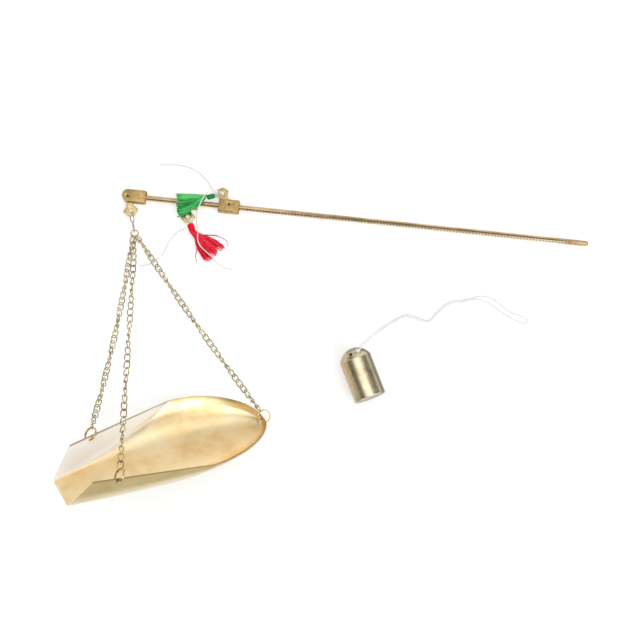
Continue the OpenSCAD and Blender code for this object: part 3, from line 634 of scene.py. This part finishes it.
def twisted_link(twist):
    """An oval ring of wire, turned by twist degrees from one end to the other."""
    deselect()
    bpy.ops.mesh.primitive_torus_add(
        major_radius=(LINK_W - LINK_WIRE) / 2 * MM, minor_radius=LINK_WIRE / 2 * MM,
        major_segments=32, minor_segments=10)
    link = bpy.context.object
    half_run = (LINK_LEN - LINK_W) / 2 * MM
    bpy.ops.object.mode_set(mode="EDIT")
    shape = bmesh.from_edit_mesh(link.data)
    for side in (-1, 1):
        bpy.ops.mesh.select_all(action="DESELECT")
        for vert in shape.verts:
            vert.select = vert.co.x * side > 0.00001
        shape.select_flush_mode()
        bpy.ops.transform.translate(value=(side * half_run, 0, 0))
    bpy.ops.object.mode_set(mode="OBJECT")
    modified(link, "SIMPLE_DEFORM", deform_method="TWIST", deform_axis="X",
             angle=math.radians(twist))
    bpy.ops.object.shade_smooth()
    far_end = max((v for v in link.data.vertices if v.co.x > half_run),
                  key=lambda v: abs(v.co.y) + abs(v.co.z))
    print("link end turned to", round(math.degrees(math.atan2(far_end.co.z, far_end.co.y)) % 180, 1))
    return link


# %% A chain of them
CHAIN_POINTS = 200
NEARBY = 1.5


def roll_square_to(way, normal):
    """Turn about the chain's run that brings a flat link's face to a given direction."""
    side = Vector((-way.y, way.x, 0)).normalized()
    return math.degrees(math.atan2(-normal.dot(side), normal.dot(way.cross(side))))


def chain_of(name, start, ring, sag, bow, sense):
    """Links on a line that sags and bows, square to the ring at both of its ends."""
    twist = sense * (ROLL - 90)
    pattern = twisted_link(twist)
    a = np.array(start)
    middle, pull, across = (Vector(v) for v in ring)
    b = np.array(middle + PAN_RING_R * pull)
    side = np.cross([0, 0, 1], b - a)
    side /= np.linalg.norm(side)
    t = np.linspace(0, 1, CHAIN_POINTS)[:, None]
    path = a + (b - a) * t
    path[:, 2] = a[2] + (b[2] - a[2]) * ((1 - sag) * t[:, 0] + sag * t[:, 0] ** 2)
    path -= side * bow * 4 * t * (1 - t)
    gaps = np.concatenate([[0], np.cumsum(np.linalg.norm(np.diff(path, axis=0), axis=1))])
    first = (LINK_LEN - LINK_WIRE) / 2 - LINK_HANG
    marks = np.linspace(first, gaps[-1] - first, LINKS)

    def spot(m):
        return sampled(path, np.clip(m, 0, gaps[-1]), gaps)

    last_way = Vector(spot(gaps[-1]) - spot(gaps[-1] - 2 * NEARBY)).normalized()
    start_roll = 90 + twist / 2
    end_roll = roll_square_to(last_way, across.cross(pull)) - twist / 2
    turns = round((start_roll + sense * ROLL * (LINKS - 1) - end_roll) / 180)
    roll = (end_roll + 180 * turns - start_roll) / (LINKS - 1)
    copies = []
    for i, m in enumerate(marks):
        way = Vector(spot(m + NEARBY) - spot(m - NEARBY)).normalized()
        facing = way.to_track_quat("X", "Z").to_matrix().to_4x4()
        spin = Matrix.Rotation(math.radians(start_roll + roll * i), 4, "X")
        link = put_in_scene("link", pattern.data.copy())
        link.data.transform(Matrix.Translation(Vector(spot(m)) * MM) @ facing @ spin)
        copies.append(link)
    bpy.data.objects.remove(pattern)
    deselect()
    for link in copies:
        link.select_set(True)
    bpy.context.view_layer.objects.active = copies[0]
    bpy.ops.object.join()
    chain = bpy.context.object
    chain.name = name
    chain.data.name = name
    print(name, round(float(gaps[-1]), 1), "mm, a link every", round(float(marks[1] - marks[0]), 2),
          "mm, turned", round(roll, 1), "degrees")
    return chain


def on_ring(centre, radius, angle):
    a = math.radians(angle)
    return (centre[0] + radius * math.cos(a), centre[1] + radius * math.sin(a), centre[2])


# %% The three chains
top_ring_at = (-59.50, -24.91, 2.7)
TOP_RING_R = 2.45
PAN_RING_R = 4.1
# Each pan ring's centre, the way from there to its chain, and its axis
pan_rings = {
    "near": ((-34.44, -183.41, 66.77), (-0.131, 0.913, -0.386), (0.670, -0.206, -0.713)),
    "far": ((-59.87, -160.42, 42.09), (-0.007, 0.965, -0.263), (-0.501, 0.224, 0.836)),
    "back": ((39.25, -135.61, 4.67), (-0.593, 0.715, 0.371), (-0.306, 0.225, -0.925))}
# Each chain's place on the gathering ring, its sag and sideways bow, and the way it turns
for which, angle, sag, bow, sense in (("near", -76, 0, 0, 1), ("far", -110, 1, 0.2, -1),
                                      ("back", -40, 0.25, 1.5, 1)):
    chain = chain_of("chain_%s_links" % which, on_ring(top_ring_at, TOP_RING_R, angle),
                     pan_rings[which], sag, bow, sense)
    finish_piece(chain, "pan_set", chain_finish, "chain_brass", "chain_" + which)


# %% [markdown]
# ### Split rings
# Each chain is joined to the pan by a small split ring: hard wire wound almost twice round, as
# on a key ring. A torus would be a single closed turn, so the wire is a tube along a helix of
# two close turns instead, with its ends beside the chain, away from the hole in the sheet.

# %% Three split rings
SPLIT_WIRE = 0.75
TURNS = 1.9
TURN_PITCH = 1.03 * SPLIT_WIRE
RING_POINTS = 116


def split_ring(name, ring, node):
    middle, pull, axis = (np.array(v, float) for v in ring)
    side = np.cross(axis, pull)
    t = np.linspace(-0.5, 0.5, RING_POINTS)[:, None]
    a = 2 * np.pi * TURNS * t
    path = (middle + PAN_RING_R * (np.cos(a) * pull + np.sin(a) * side)
            + axis * TURNS * TURN_PITCH * t)
    piece = mesh_piece(name, [tube_arrays(path, SPLIT_WIRE / 2, 10)])
    return finish_piece(piece, "pan_set", ring_finish, "ring_brass", node)


for which in pan_rings:
    made = split_ring("pan_ring_%s_turns" % which, pan_rings[which], "pan_ring_" + which)
    print(made.name, len(made.data.polygons), "faces")


# %% [markdown]
# ## The pan
# The pan is one sheet of thin brass, pressed into a scoop: flat floor, a wall that turns up
# all round and an open mouth. It could be pressed with a cloth brush or sculpted, but its two
# outlines, the floor's edge and the rim, are known. So it is drawn as a grid of points: a
# place round the outline, and a way up the wall. Far more points are used than in the CAD
# solid, because polished sheet shows every flat facet. Then Solidify gives it its thickness.

# %% The pan's two outlines and the wall between them
FLANK = 8
SIDE = 22
MOUTH_X, MOUTH_HALF, MOUTH_UP = 13.7, 17.8, 17.8
PAN_LEN, PAN_HALF, PAN_WIDE_AT = 133.0, 33.2, 83.0
SHOULDER_UP, BACK_UP = 15.4, 8.5
FLOOR_LEN, FLOOR_HALF, FLOOR_WIDE_AT = 131.2, 25.5, 55.4
FLOOR_MOUTH_HALF = 12
RIM_BULGE, FLOOR_BULGE = 1.84, 2.38
FLAT_SHARE, BENT_SHARE = 0.3, 0.7
MOUTH_ROUND, MORE_ROUND = 0.12, 0.6


def mix(a, b, t):
    return a + (b - a) * t


def way_round(k):
    """Steps from the nearer mouth corner in flanks, the side it is on, and the bowl's angle."""
    m = min(k, 2 * SIDE - k)
    side = -1 if k <= SIDE else 1
    return m / FLANK, side, math.radians(90 * (SIDE - m) / (SIDE - FLANK))


def bulged(angle, power):
    """A quarter of a rounded outline: how far along and how far out."""
    return abs(math.cos(angle)) ** (2 / power), abs(math.sin(angle)) ** (2 / power)


def rim_point(k):
    f, side, angle = way_round(k)
    if f < 1:
        return np.array([mix(MOUTH_X, PAN_WIDE_AT, f), side * mix(MOUTH_HALF, PAN_HALF, f),
                         mix(MOUTH_UP, SHOULDER_UP, f)])
    c, n = bulged(angle, RIM_BULGE)
    return np.array([mix(PAN_WIDE_AT, PAN_LEN, c), side * PAN_HALF * n,
                     mix(BACK_UP, SHOULDER_UP, n)])


def floor_point(k):
    f, side, angle = way_round(k)
    if f < 1:
        return np.array([FLOOR_WIDE_AT * f, side * mix(FLOOR_MOUTH_HALF, FLOOR_HALF, f), 0])
    c, n = bulged(angle, FLOOR_BULGE)
    return np.array([mix(FLOOR_WIDE_AT, FLOOR_LEN, c), side * FLOOR_HALF * n, 0])


def keel_point(k):
    return np.array([min(way_round(k)[0], 1) * FLOOR_WIDE_AT, 0, 0])


def pan_point(k, s):
    """k goes round the outline from one mouth corner to the other, s from keel to rim."""
    roundness = MOUTH_ROUND + MORE_ROUND * min(way_round(k)[0], 1) ** 1.5
    keel, corner, edge = keel_point(k), floor_point(k), rim_point(k)
    low, high = mix(keel, corner, 1 - roundness), mix(corner, edge, roundness)
    if s < FLAT_SHARE:
        return mix(keel, low, s / FLAT_SHARE)
    if s < BENT_SHARE:
        t = (s - FLAT_SHARE) / (BENT_SHARE - FLAT_SHARE)
        return (1 - t) ** 2 * low + 2 * t * (1 - t) * corner + t * t * high
    return mix(high, edge, (s - BENT_SHARE) / (1 - BENT_SHARE))


pan_turn = (Matrix.Rotation(math.radians(27), 4, "Z") @ Matrix.Rotation(math.radians(24.7), 4, "Y")
            @ Matrix.Rotation(math.radians(-39.4), 4, "X"))
pan_matrix = Matrix.Translation(Vector((-69, -197.2, 55.85)) * MM) @ pan_turn
print("pan's opening faces", [round(v, 2) for v in pan_turn @ Vector((0, 0, 1))])

# %% Draw the sheet and give it its thickness
ROWS = 40
PER_K = 5
SHEET = 0.55
columns = np.linspace(0, 2 * SIDE, 2 * SIDE * PER_K + 1)
rows = np.linspace(0, 1, ROWS + 1)
grid = np.array([[pan_point(k, s) for k in columns] for s in rows])
mesh = bpy.data.meshes.new("pan_sheet")
width = len(columns)
corners = np.array([0, 1, width + 1, width])
mesh.from_pydata((grid.reshape(-1, 3) * MM).tolist(), [],
                 [(r * width + c + corners).tolist()
                  for r in range(ROWS) for c in range(width - 1)])
pan = put_in_scene("pan_sheet", mesh)
cleaned(pan, 10 * SAME_POINT)
modified(pan, "SOLIDIFY", thickness=SHEET * MM, offset=0, use_even_offset=True)
mesh.transform(pan_matrix)
print("sheet:", width, "by", len(rows), "points")

# %% Drill the three ring holes
HOLE_R = 1.1
DRILL_LEN = 4
RING_HOLES = ((1.77, 0.945), (2 * SIDE - 1.77, 0.945), (SIDE, 0.66))
for k, s in RING_HOLES:
    around = Vector(pan_point(k + 0.3, s) - pan_point(k - 0.3, s))
    up = Vector(pan_point(k, s + 0.03) - pan_point(k, s - 0.03))
    normal = around.cross(up).normalized()
    deselect()
    bpy.ops.mesh.primitive_cylinder_add(vertices=40, radius=HOLE_R * MM, depth=DRILL_LEN * MM)
    drill = bpy.context.object
    drill.data.transform(pan_matrix @ Matrix.Translation(Vector(pan_point(k, s)) * MM)
                         @ normal.to_track_quat("Z", "Y").to_matrix().to_4x4())
    modified(pan, "BOOLEAN", object=drill, operation="DIFFERENCE")
    bpy.data.objects.remove(drill)
smooth_by_angle(pan, 50)
print("pan faces:", len(pan.data.polygons))

# %% [markdown]
# ### The pan's finish
# Inside, the sheet is polished and mirrors warm blotches, and one wall near the mouth is painted
# almost white and less metallic, a painted glare. Outside it is tinted darker and more olive, with
# a pale band, both painted reflections, and a stretch below the rim is painted dark, a painted
# reflection too. The sheet is also darker along its rim. A finish that differs by place needs to
# know the place, so each point of the mesh is given three numbers: which side of the sheet it is on,
# how far up the wall it is, and how far round the pan.

# %% Where each point of the sheet lies
flat_grid = grid.reshape(-1, 3)
near_points = kdtree.KDTree(len(flat_grid))
for i, point in enumerate(flat_grid):
    near_points.insert(Vector(point), i)
near_points.balance()
to_pan = pan_matrix.inverted()
outside, height, length = [], [], []
for vert in pan.data.vertices:
    local = (to_pan @ vert.co) / MM
    spot, index, _ = near_points.find(local)
    r, c = divmod(index, width)
    right = Vector(grid[r, min(c + 1, width - 1)] - grid[r, max(c - 1, 0)])
    up = Vector(grid[min(r + 1, ROWS), c] - grid[max(r - 1, 0), c])
    outside.append(1.0 if (local - spot).dot(right.cross(up)) > 0 else 0.0)
    height.append(r / ROWS)
    length.append(c / (width - 1))
for name, values in (("outside", outside), ("height", height), ("length", length)):
    pan.data.attributes.new(name, "FLOAT", "POINT").data.foreach_set("value", values)
print("points outside:", int(sum(outside)), "of", len(outside))

# %% Pan material
pan_finish = metal("pan_brass_finish",
                   [(0.88, 0.63, 0.31), (1.0, 0.78, 0.44), (1.0, 0.85, 0.56)],
                   (0.28, 0.42), patch=54.0, line_scale=1500.0, line_depth=0.04,
                   wave=0.4, wave_scale=26.0, wave_height=0.001)
net, shader = opened(pan_finish)
outside_at, height_at, along_at = (attribute(net, name) for name in ("outside", "height", "length"))
dull = noise(net, place(net), 60.0, 4.0, 0.6)
# The outside's olive tint is a painted reflection of darker surroundings
painted_olive = ramp(net, dull, [(0.3, (0.42, 0.33, 0.15)), (0.7, (0.54, 0.43, 0.23))])
# The pale band on the outside is a painted reflection
outer = mix_colour(net, mask_between(net, height_at, 0.42, 0.74, 0.08), painted_olive, (0.74, 0.67, 0.48))
diagonal = calc(net, "MULTIPLY_ADD", along_at, 3.0, height_at)
# A pale patch on the inner wall near the mouth: a painted glare
painted_glare = product(net, spread(net, diagonal, 0, 1, 3.00, 3.30),
               spread(net, height_at, 0, 1, 0.36, 0.56),
               spread(net, along_at, 0, 1, 0.78, 0.83), calc(net, "SUBTRACT", 1.0, outside_at))
# A dark stretch below the rim: a painted reflection
painted_dark_reflection = product(net, mask_between(net, along_at, 0.60, 0.815, 0.03),
                    spread(net, height_at, 0, 0.85, 0.80, 0.97))
# Darker along the rim
cut_edge = spread(net, height_at, 0, 0.9, 0.972, 0.995)
colour = mix_colour(net, outside_at, colour_into(shader), outer)
for mask, tint in ((painted_glare, (0.99, 1.0, 1.0)), (painted_dark_reflection, (0.36, 0.27, 0.10)),
                   (cut_edge, (0.34, 0.23, 0.09))):
    colour = mix_colour(net, mask, colour, tint)
net.links.new(colour, shader.inputs["Base Color"])
# Less metallic where the glare is painted
net.links.new(spread(net, painted_glare, 1.0, 0.0, 0, 0.9), shader.inputs["Metallic"])
finish_piece(pan, "pan_set", pan_finish, "pan_brass", "pan")
print("pan wears", pan_finish.name)


# %% [markdown]
# ## Tassels
# A tassel is a few hundred loose threads, tied at the top and bound with more of the same
# floss. One thread is modelled from a thin cylinder, and every copy of it is laid along its
# own slightly wavy line from the binding to the fringe.

# %% The pattern thread
random = np.random.default_rng(7)


def thread_pattern(segments=10, around=4):
    deselect()
    bpy.ops.mesh.primitive_cylinder_add(vertices=around, radius=1, depth=1)
    thread = bpy.context.object
    bpy.ops.object.mode_set(mode="EDIT")
    shape = bmesh.from_edit_mesh(thread.data)
    cuts = [e for e in shape.edges if abs(e.verts[0].co.z - e.verts[1].co.z) > 0.5]
    bmesh.ops.subdivide_edges(shape, edges=cuts, cuts=segments - 1)
    bmesh.update_edit_mesh(thread.data)
    bpy.ops.object.mode_set(mode="OBJECT")
    points = np.array([v.co for v in thread.data.vertices])
    faces = [tuple(p.vertices) for p in thread.data.polygons]
    bpy.data.objects.remove(thread)
    return points, faces


thread_points, thread_faces = thread_pattern()
print("pattern thread:", len(thread_points), "points")

# %% Lay the threads
THREADS = 300
THREAD_STEPS = 14
TAPER = 0.35
LOCKS = 22
LOCK_SPREAD = 0.09
FANS_OUT = 1.6
STRAY_TONE = 0.08


def lay_thread(path, radius):
    """The pattern thread, bent along a path, thinner at its free end."""
    _, u, v = carried_frames(path)
    t = thread_points[:, 2] + 0.5
    at = t * (len(path) - 1)
    thin = (radius * (1 - TAPER * t ** 3))[:, None]
    return (sampled(path, at) + thin * (thread_points[:, :1] * sampled(u, at)
                                        + thread_points[:, 1:2] * sampled(v, at)))


def skirt(name, left, right, thick, radius, fringe, wave, floor, strays=()):
    """Threads between two edges, bunched into locks; strays are threads with paths of their own."""
    left, right = curve_through(left, 6), curve_through(right, 6)
    n = len(left)
    thick = np.interp(np.linspace(0, 1, n), np.linspace(0, 1, len(thick)), thick)
    steps = np.linspace(0, 1, THREAD_STEPS)
    parts, tones = [], []
    locks = random.uniform(-0.95, 0.95, LOCKS)
    for _ in range(THREADS):
        lock = random.choice(locks)
        x = np.clip(lock + random.normal(0, LOCK_SPREAD), -1, 1)
        z = math.sqrt(1 - 0.9 * x * x) * random.uniform(-1, 1)
        at = steps * (1 + random.uniform(*fringe)) * (n - 1)
        share = mix(random.uniform(-0.9, 0.9), x, np.clip(steps * FANS_OUT, 0, 1))[:, None]
        beyond = np.clip(at - (n - 1), 0, None)[:, None]
        one, other = (sampled(side, at) + beyond * (side[-1] - side[-2]) for side in (left, right))
        path = (one + other) / 2 + (one - other) / 2 * share
        path[:, 2] += np.interp(at, np.arange(n), thick) / 2 * z
        phase = random.uniform(0, 6.28, 3)
        size = wave * random.uniform(0.2, 1) * steps[:, None] ** 1.5
        path += size * np.sin(steps[:, None] * random.uniform(2, 7) + phase)
        path[:, 2] = np.maximum(path[:, 2], floor)
        parts.append((lay_thread(path, radius * random.uniform(0.8, 1.2)), thread_faces))
        lock_tone = 0.5 + 0.25 * math.sin(lock * 37)
        tones.append(np.clip(lock_tone + random.uniform(-0.35, 0.35), 0, 1))
    for stray in strays:
        path = even_steps(curve_through(stray, 8), 0.6)
        parts.append((lay_thread(path, radius), thread_faces))
        tones.append(STRAY_TONE)
    return mesh_piece(name, parts, tones)


# %% Floss material, with a tone of its own for each thread
def floss(name, dark, middle, light, sheen):
    material, net, shader = new_material(name)
    tones = ramp(net, attribute(net, "tone"), [(0.0, dark), (0.45, middle), (1.0, light)])
    net.links.new(tones, shader.inputs["Base Color"])
    for socket, value in (("Roughness", 0.5), ("Sheen Weight", 0.04), ("Sheen Roughness", 0.4),
                          ("Sheen Tint", (*sheen, 1)), ("Specular IOR Level", 0.22)):
        shader.inputs[socket].default_value = value
    fine = noise(net, place(net), 3000.0, 2.0)
    net.links.new(bump(net, fine, 0.4, 0.00003), shader.inputs["Normal"])
    return material


green_floss = floss("green_floss", (0.01, 0.20, 0.05), (0.05, 0.55, 0.14), (0.28, 0.88, 0.28),
                    (0.6, 0.9, 0.4))
red_floss = floss("red_floss", (0.36, 0.0, 0.01), (0.98, 0.004, 0.03), (1.0, 0.10, 0.17),
                  (1.0, 0.6, 0.65))
print("floss:", green_floss.name, red_floss.name)

# %% Green and red skirts
green_to = np.array((-14.33, 3.71, 6.06))
green_left = [green_to + (-0.8, 2, 0.4), (-18, 5, 7.6), (-22, 4.6, 7.7), (-28, 4, 7.6),
              (-34.6, 3.6, 7.4)]
green_right = [green_to + (-1.6, -1.6, 0.4), (-18.4, -2.6, 7.7), (-22, -5.8, 7.7),
               (-27, -9.4, 7.5), (-32, -12, 7.2)]
green_skirt = skirt("green_tassel_threads", green_left, green_right, [2.6, 3.2, 3.4, 3.2, 2.8],
                    0.24, (-0.10, 0.04), 0.45, 5.7)
finish_piece(green_skirt, "upper_grip", green_floss, "green_thread", "green_tassel")
red_to = np.array((-21.87, -19.07, 2.49))
red_left = [red_to + (1.7, 0.7, 0), (-17, -20, 2.4), (-11.4, -21.6, 2.4), (-5.4, -24.2, 2.3),
            (-0.1, -26.8, 2.2)]
red_right = [red_to + (-1.8, -1.1, 0), (-20, -24, 2.4), (-18.4, -28.4, 2.4), (-15, -33.6, 2.3),
             (-11.2, -38.2, 2.2)]
red_strays = [
    [(-15, -21, 2.6), (-11, -20.8, 2.8), (-7.5, -20.3, 2.4), (-4.5, -19.7, 1.6)],
    [(-13, -21.5, 2.8), (-8, -20.8, 3.2), (-2, -21.8, 2.6), (2.2, -24.2, 1.6), (1.8, -26.4, 1.0)],
    [(-18, -25, 2.4), (-17.6, -31, 2.2), (-17.8, -36, 1.4), (-16.6, -39.5, 0.8)]]
red_skirt = skirt("red_tassel_threads", red_left, red_right, [3.4, 3.8, 4, 3.8, 3.4],
                  0.25, (-0.30, 0.12), 0.9, 0.3, red_strays)
finish_piece(red_skirt, "lower_grip", red_floss, "red_thread", "red_tassel")
print("threads:", 2 * THREADS, "and strays:", len(red_strays))


# %% [markdown]
# ### The bound heads
# Above the skirt the floss is bound: one thread goes round and round, each turn beside the
# last. It is a helix on a slightly barrel shaped core.

# %% Bindings
STEPS_PER_TURN = 20
CORE_STEPS = 12
CORE_SHARE, WOUND_SHARE = 0.80, 0.86
BARREL = 0.12
SNUG = 0.54


def binding(name, start, end, radius, turns, tones):
    start, end = np.array(start, float), np.array(end, float)
    length = np.linalg.norm(end - start)
    axis = (end - start) / length
    u = np.cross(axis, [0, 0, 1])
    u /= np.linalg.norm(u)
    v = np.cross(axis, u)
    t = np.linspace(0, 1, turns * STEPS_PER_TURN + 1)[:, None]
    barrel = radius * (WOUND_SHARE + BARREL * np.sin(np.pi * t))
    a = 2 * np.pi * turns * t
    path = start + axis * length * t + barrel * (np.cos(a) * u + np.sin(a) * v)
    core_t = np.linspace(0, 1, CORE_STEPS)
    core_path = start + axis * length * core_t[:, None]
    core_r = radius * (CORE_SHARE + BARREL * np.sin(np.pi * core_t))
    return mesh_piece(name, [tube_arrays(core_path, core_r, 20),
                             tube_arrays(path, length / turns * SNUG, 6)], tones)


green_head = binding("green_binding_turns", (-10.51, 6.11, 3.9), green_to, 1.6, 14, (0.02, 0.1))
finish_piece(green_head, "upper_grip", green_floss, "green_thread", "green_binding")
red_head = binding("red_binding_turns", (-24.02, -14.56, 2.7), red_to, 2.1, 13, (0.2, 0.4))
finish_piece(red_head, "lower_grip", red_floss, "red_thread", "red_binding")
print("bound heads:", green_head.name, red_head.name)


# %% [markdown]
# ### Ties and knots
# Each tassel is tied into its hanger's eye with a loop of the white cord, and the green one has
# a small knot beside its bound head. The cord of the counterweight is stopped by an overhand
# knot. A trefoil is an overhand knot with its ends joined, and its formula is short.

# %% Ties and knots
EYE_R = 1.3
TIE_GAP = 0.1
TIE_UP = 1.05
PLY_OUT, PLY_R = 0.19, 0.21
PLY_STEP = 0.3


def trefoil(centre, size, radius, samples, around):
    t = np.linspace(0, 2 * np.pi, samples)
    turns = np.stack([np.sin(t) + 2 * np.sin(2 * t), np.cos(t) - 2 * np.cos(2 * t),
                      -np.sin(3 * t)], 1)
    return tube_arrays(turns * size + np.array(centre), radius, around)


def tie(name, eye, angle, run, body, node, knots=()):
    """A loop of two plies through an eye, which ends run mm from the eye's middle."""
    a = math.radians(angle)
    way = np.array([math.cos(a), math.sin(a), 0])
    inner, outer = EYE_R - CORD_D / 2 - TIE_GAP, run - CORD_D / 2
    t = np.linspace(0, 2 * np.pi, 61)
    c, s = np.cos(t), np.sin(t)
    out = (inner + outer) / 2 + (outer - inner) / 2 * np.sign(c) * np.abs(c) ** 0.8
    path = (np.array(eye) + way * out[:, None]
            + np.array([0, 0, TIE_UP]) * (np.sign(s) * np.abs(s) ** 0.5)[:, None])
    path = even_steps(path, PLY_STEP)
    _, u, v = carried_frames(path)
    turn = np.linspace(0, 2 * np.pi * round(len(path) * PLY_STEP / LAY), len(path))[:, None]
    parts = [tube_arrays(path + PLY_OUT * (np.cos(turn + a) * u + np.sin(turn + a) * v), PLY_R, 6)
             for a in (0, np.pi)]
    piece = mesh_piece(name, parts + list(knots))
    return finish_piece(piece, body, cord_finish, "white_cord", node)


tie("green_tie_loop", (-5.39, 8.50, 2.7), 205, 5.6, "upper_grip", "green_tie",
    [trefoil((-9.3, 8.1, 4.9), 0.36, 0.34, 49, 6)])
tie("red_tie_loop", (-26.19, -10.11, 2.7), -64, 4.9, "lower_grip", "red_tie")
low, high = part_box("weight_knot")
knot_centre = (np.array(low) + np.array(high)) / 2 / MM
knot = mesh_piece("weight_knot_turns", [trefoil(knot_centre, 0.38, 0.42, 73, 8)])
finish_piece(knot, "counterweight", cord_finish, "white_cord", "weight_knot")


# %% [markdown]
# ## Table, light and surroundings
# Shop photographs are shot on a white sweep. Metal shows its surroundings, so these matter as
# much as the lamps: bright overhead, darker half way down, and bright again at the table's
# edge. That gives round brass its light and dark bands. There is a soft window on the far side,
# and a dark patch on the near side where the photographer stands. The floor is matte white to
# the light that falls on it, and glows a little where it is looked at or mirrored.

# %% Floor
deselect()
bpy.ops.mesh.primitive_plane_add(size=6, location=(0, 0, 0))
floor = bpy.context.object
floor.name = "floor"
floor_finish = bpy.data.materials.new("floor_white")
floor_finish.use_nodes = True
net = floor_finish.node_tree
net.nodes.clear()
out = add(net, "ShaderNodeOutputMaterial")
matte = add(net, "ShaderNodeBsdfDiffuse", {"Color": (0.90, 0.90, 0.90, 1)})
greyer = add(net, "ShaderNodeBsdfDiffuse", {"Color": (0.62, 0.62, 0.62, 1)})
glow = add(net, "ShaderNodeEmission", {"Color": (1, 1, 1, 1), "Strength": 0.50})
both = add(net, "ShaderNodeAddShader")
choice = add(net, "ShaderNodeMixShader")
rays = add(net, "ShaderNodeLightPath").outputs
seen = calc(net, "MAXIMUM", rays["Is Camera Ray"], rays["Is Glossy Ray"])
seen = calc(net, "MAXIMUM", seen, rays["Is Transmission Ray"])
net.links.new(seen, choice.inputs["Fac"])
for node, socket in ((greyer, both.inputs[0]), (glow, both.inputs[1]), (matte, choice.inputs[1]),
                     (both, choice.inputs[2]), (choice, out.inputs["Surface"])):
    net.links.new(node.outputs[0], socket)
floor.data.materials.append(floor_finish)
print("floor:", [round(v, 2) for v in floor.dimensions])

# %% World
world = bpy.data.worlds.new("room")
bpy.context.scene.world = world
world.use_nodes = True
net = world.node_tree
back = net.nodes["Background"]
around = add(net, "ShaderNodeTexCoord").outputs["Generated"]
heights = [(0.0, (0.90, 0.90, 0.90)), (0.08, (0.78, 0.78, 0.78)), (0.24, (0.24, 0.23, 0.21)),
           (0.62, (0.17, 0.16, 0.14)), (0.84, (0.36, 0.36, 0.35)), (0.97, (0.80, 0.80, 0.80))]
room = ramp(net, split(net, around)["Z"], heights)
window = ((0.35, 0.72, 0.60), (0.78, 0.96), (0.66, 0.66, 0.64))
photographer = ((-0.05, -0.80, 0.60), (0.80, 0.93), (0.04, 0.04, 0.035))
for way, edge, tint in (window, photographer):
    patch = spread(net, reach(net, around, Vector(way).normalized()), 0, 1, *edge)
    room = mix_colour(net, patch, room, tint)
net.links.new(room, back.inputs["Color"])
back.inputs["Strength"].default_value = 1.0


# %% Lamps
def softbox(name, at, size, power, aim=(0.05, -0.07, 0)):
    data = bpy.data.lights.new(name, "AREA")
    data.shape = "RECTANGLE"
    data.size, data.size_y = size
    data.energy = power
    facing = (Vector(at) - Vector(aim)).to_track_quat("Z", "Y").to_matrix().to_4x4()
    put_in_scene(name, data).matrix_world = Matrix.Translation(Vector(at)) @ facing
    print(name, "gives", power, "W")


softbox("over", (0.05, -0.05, 1.5), (1.5, 1.5), 7)
softbox("from_top", (0.0, 1.5, 1.0), (2.4, 1.0), 5)
softbox("from_left", (-1.5, -0.2, 0.9), (1.0, 2.0), 4)
softbox("from_right", (1.2, -1.0, 1.1), (1.6, 1.6), 22, aim=(-0.02, -0.1, 0.03))
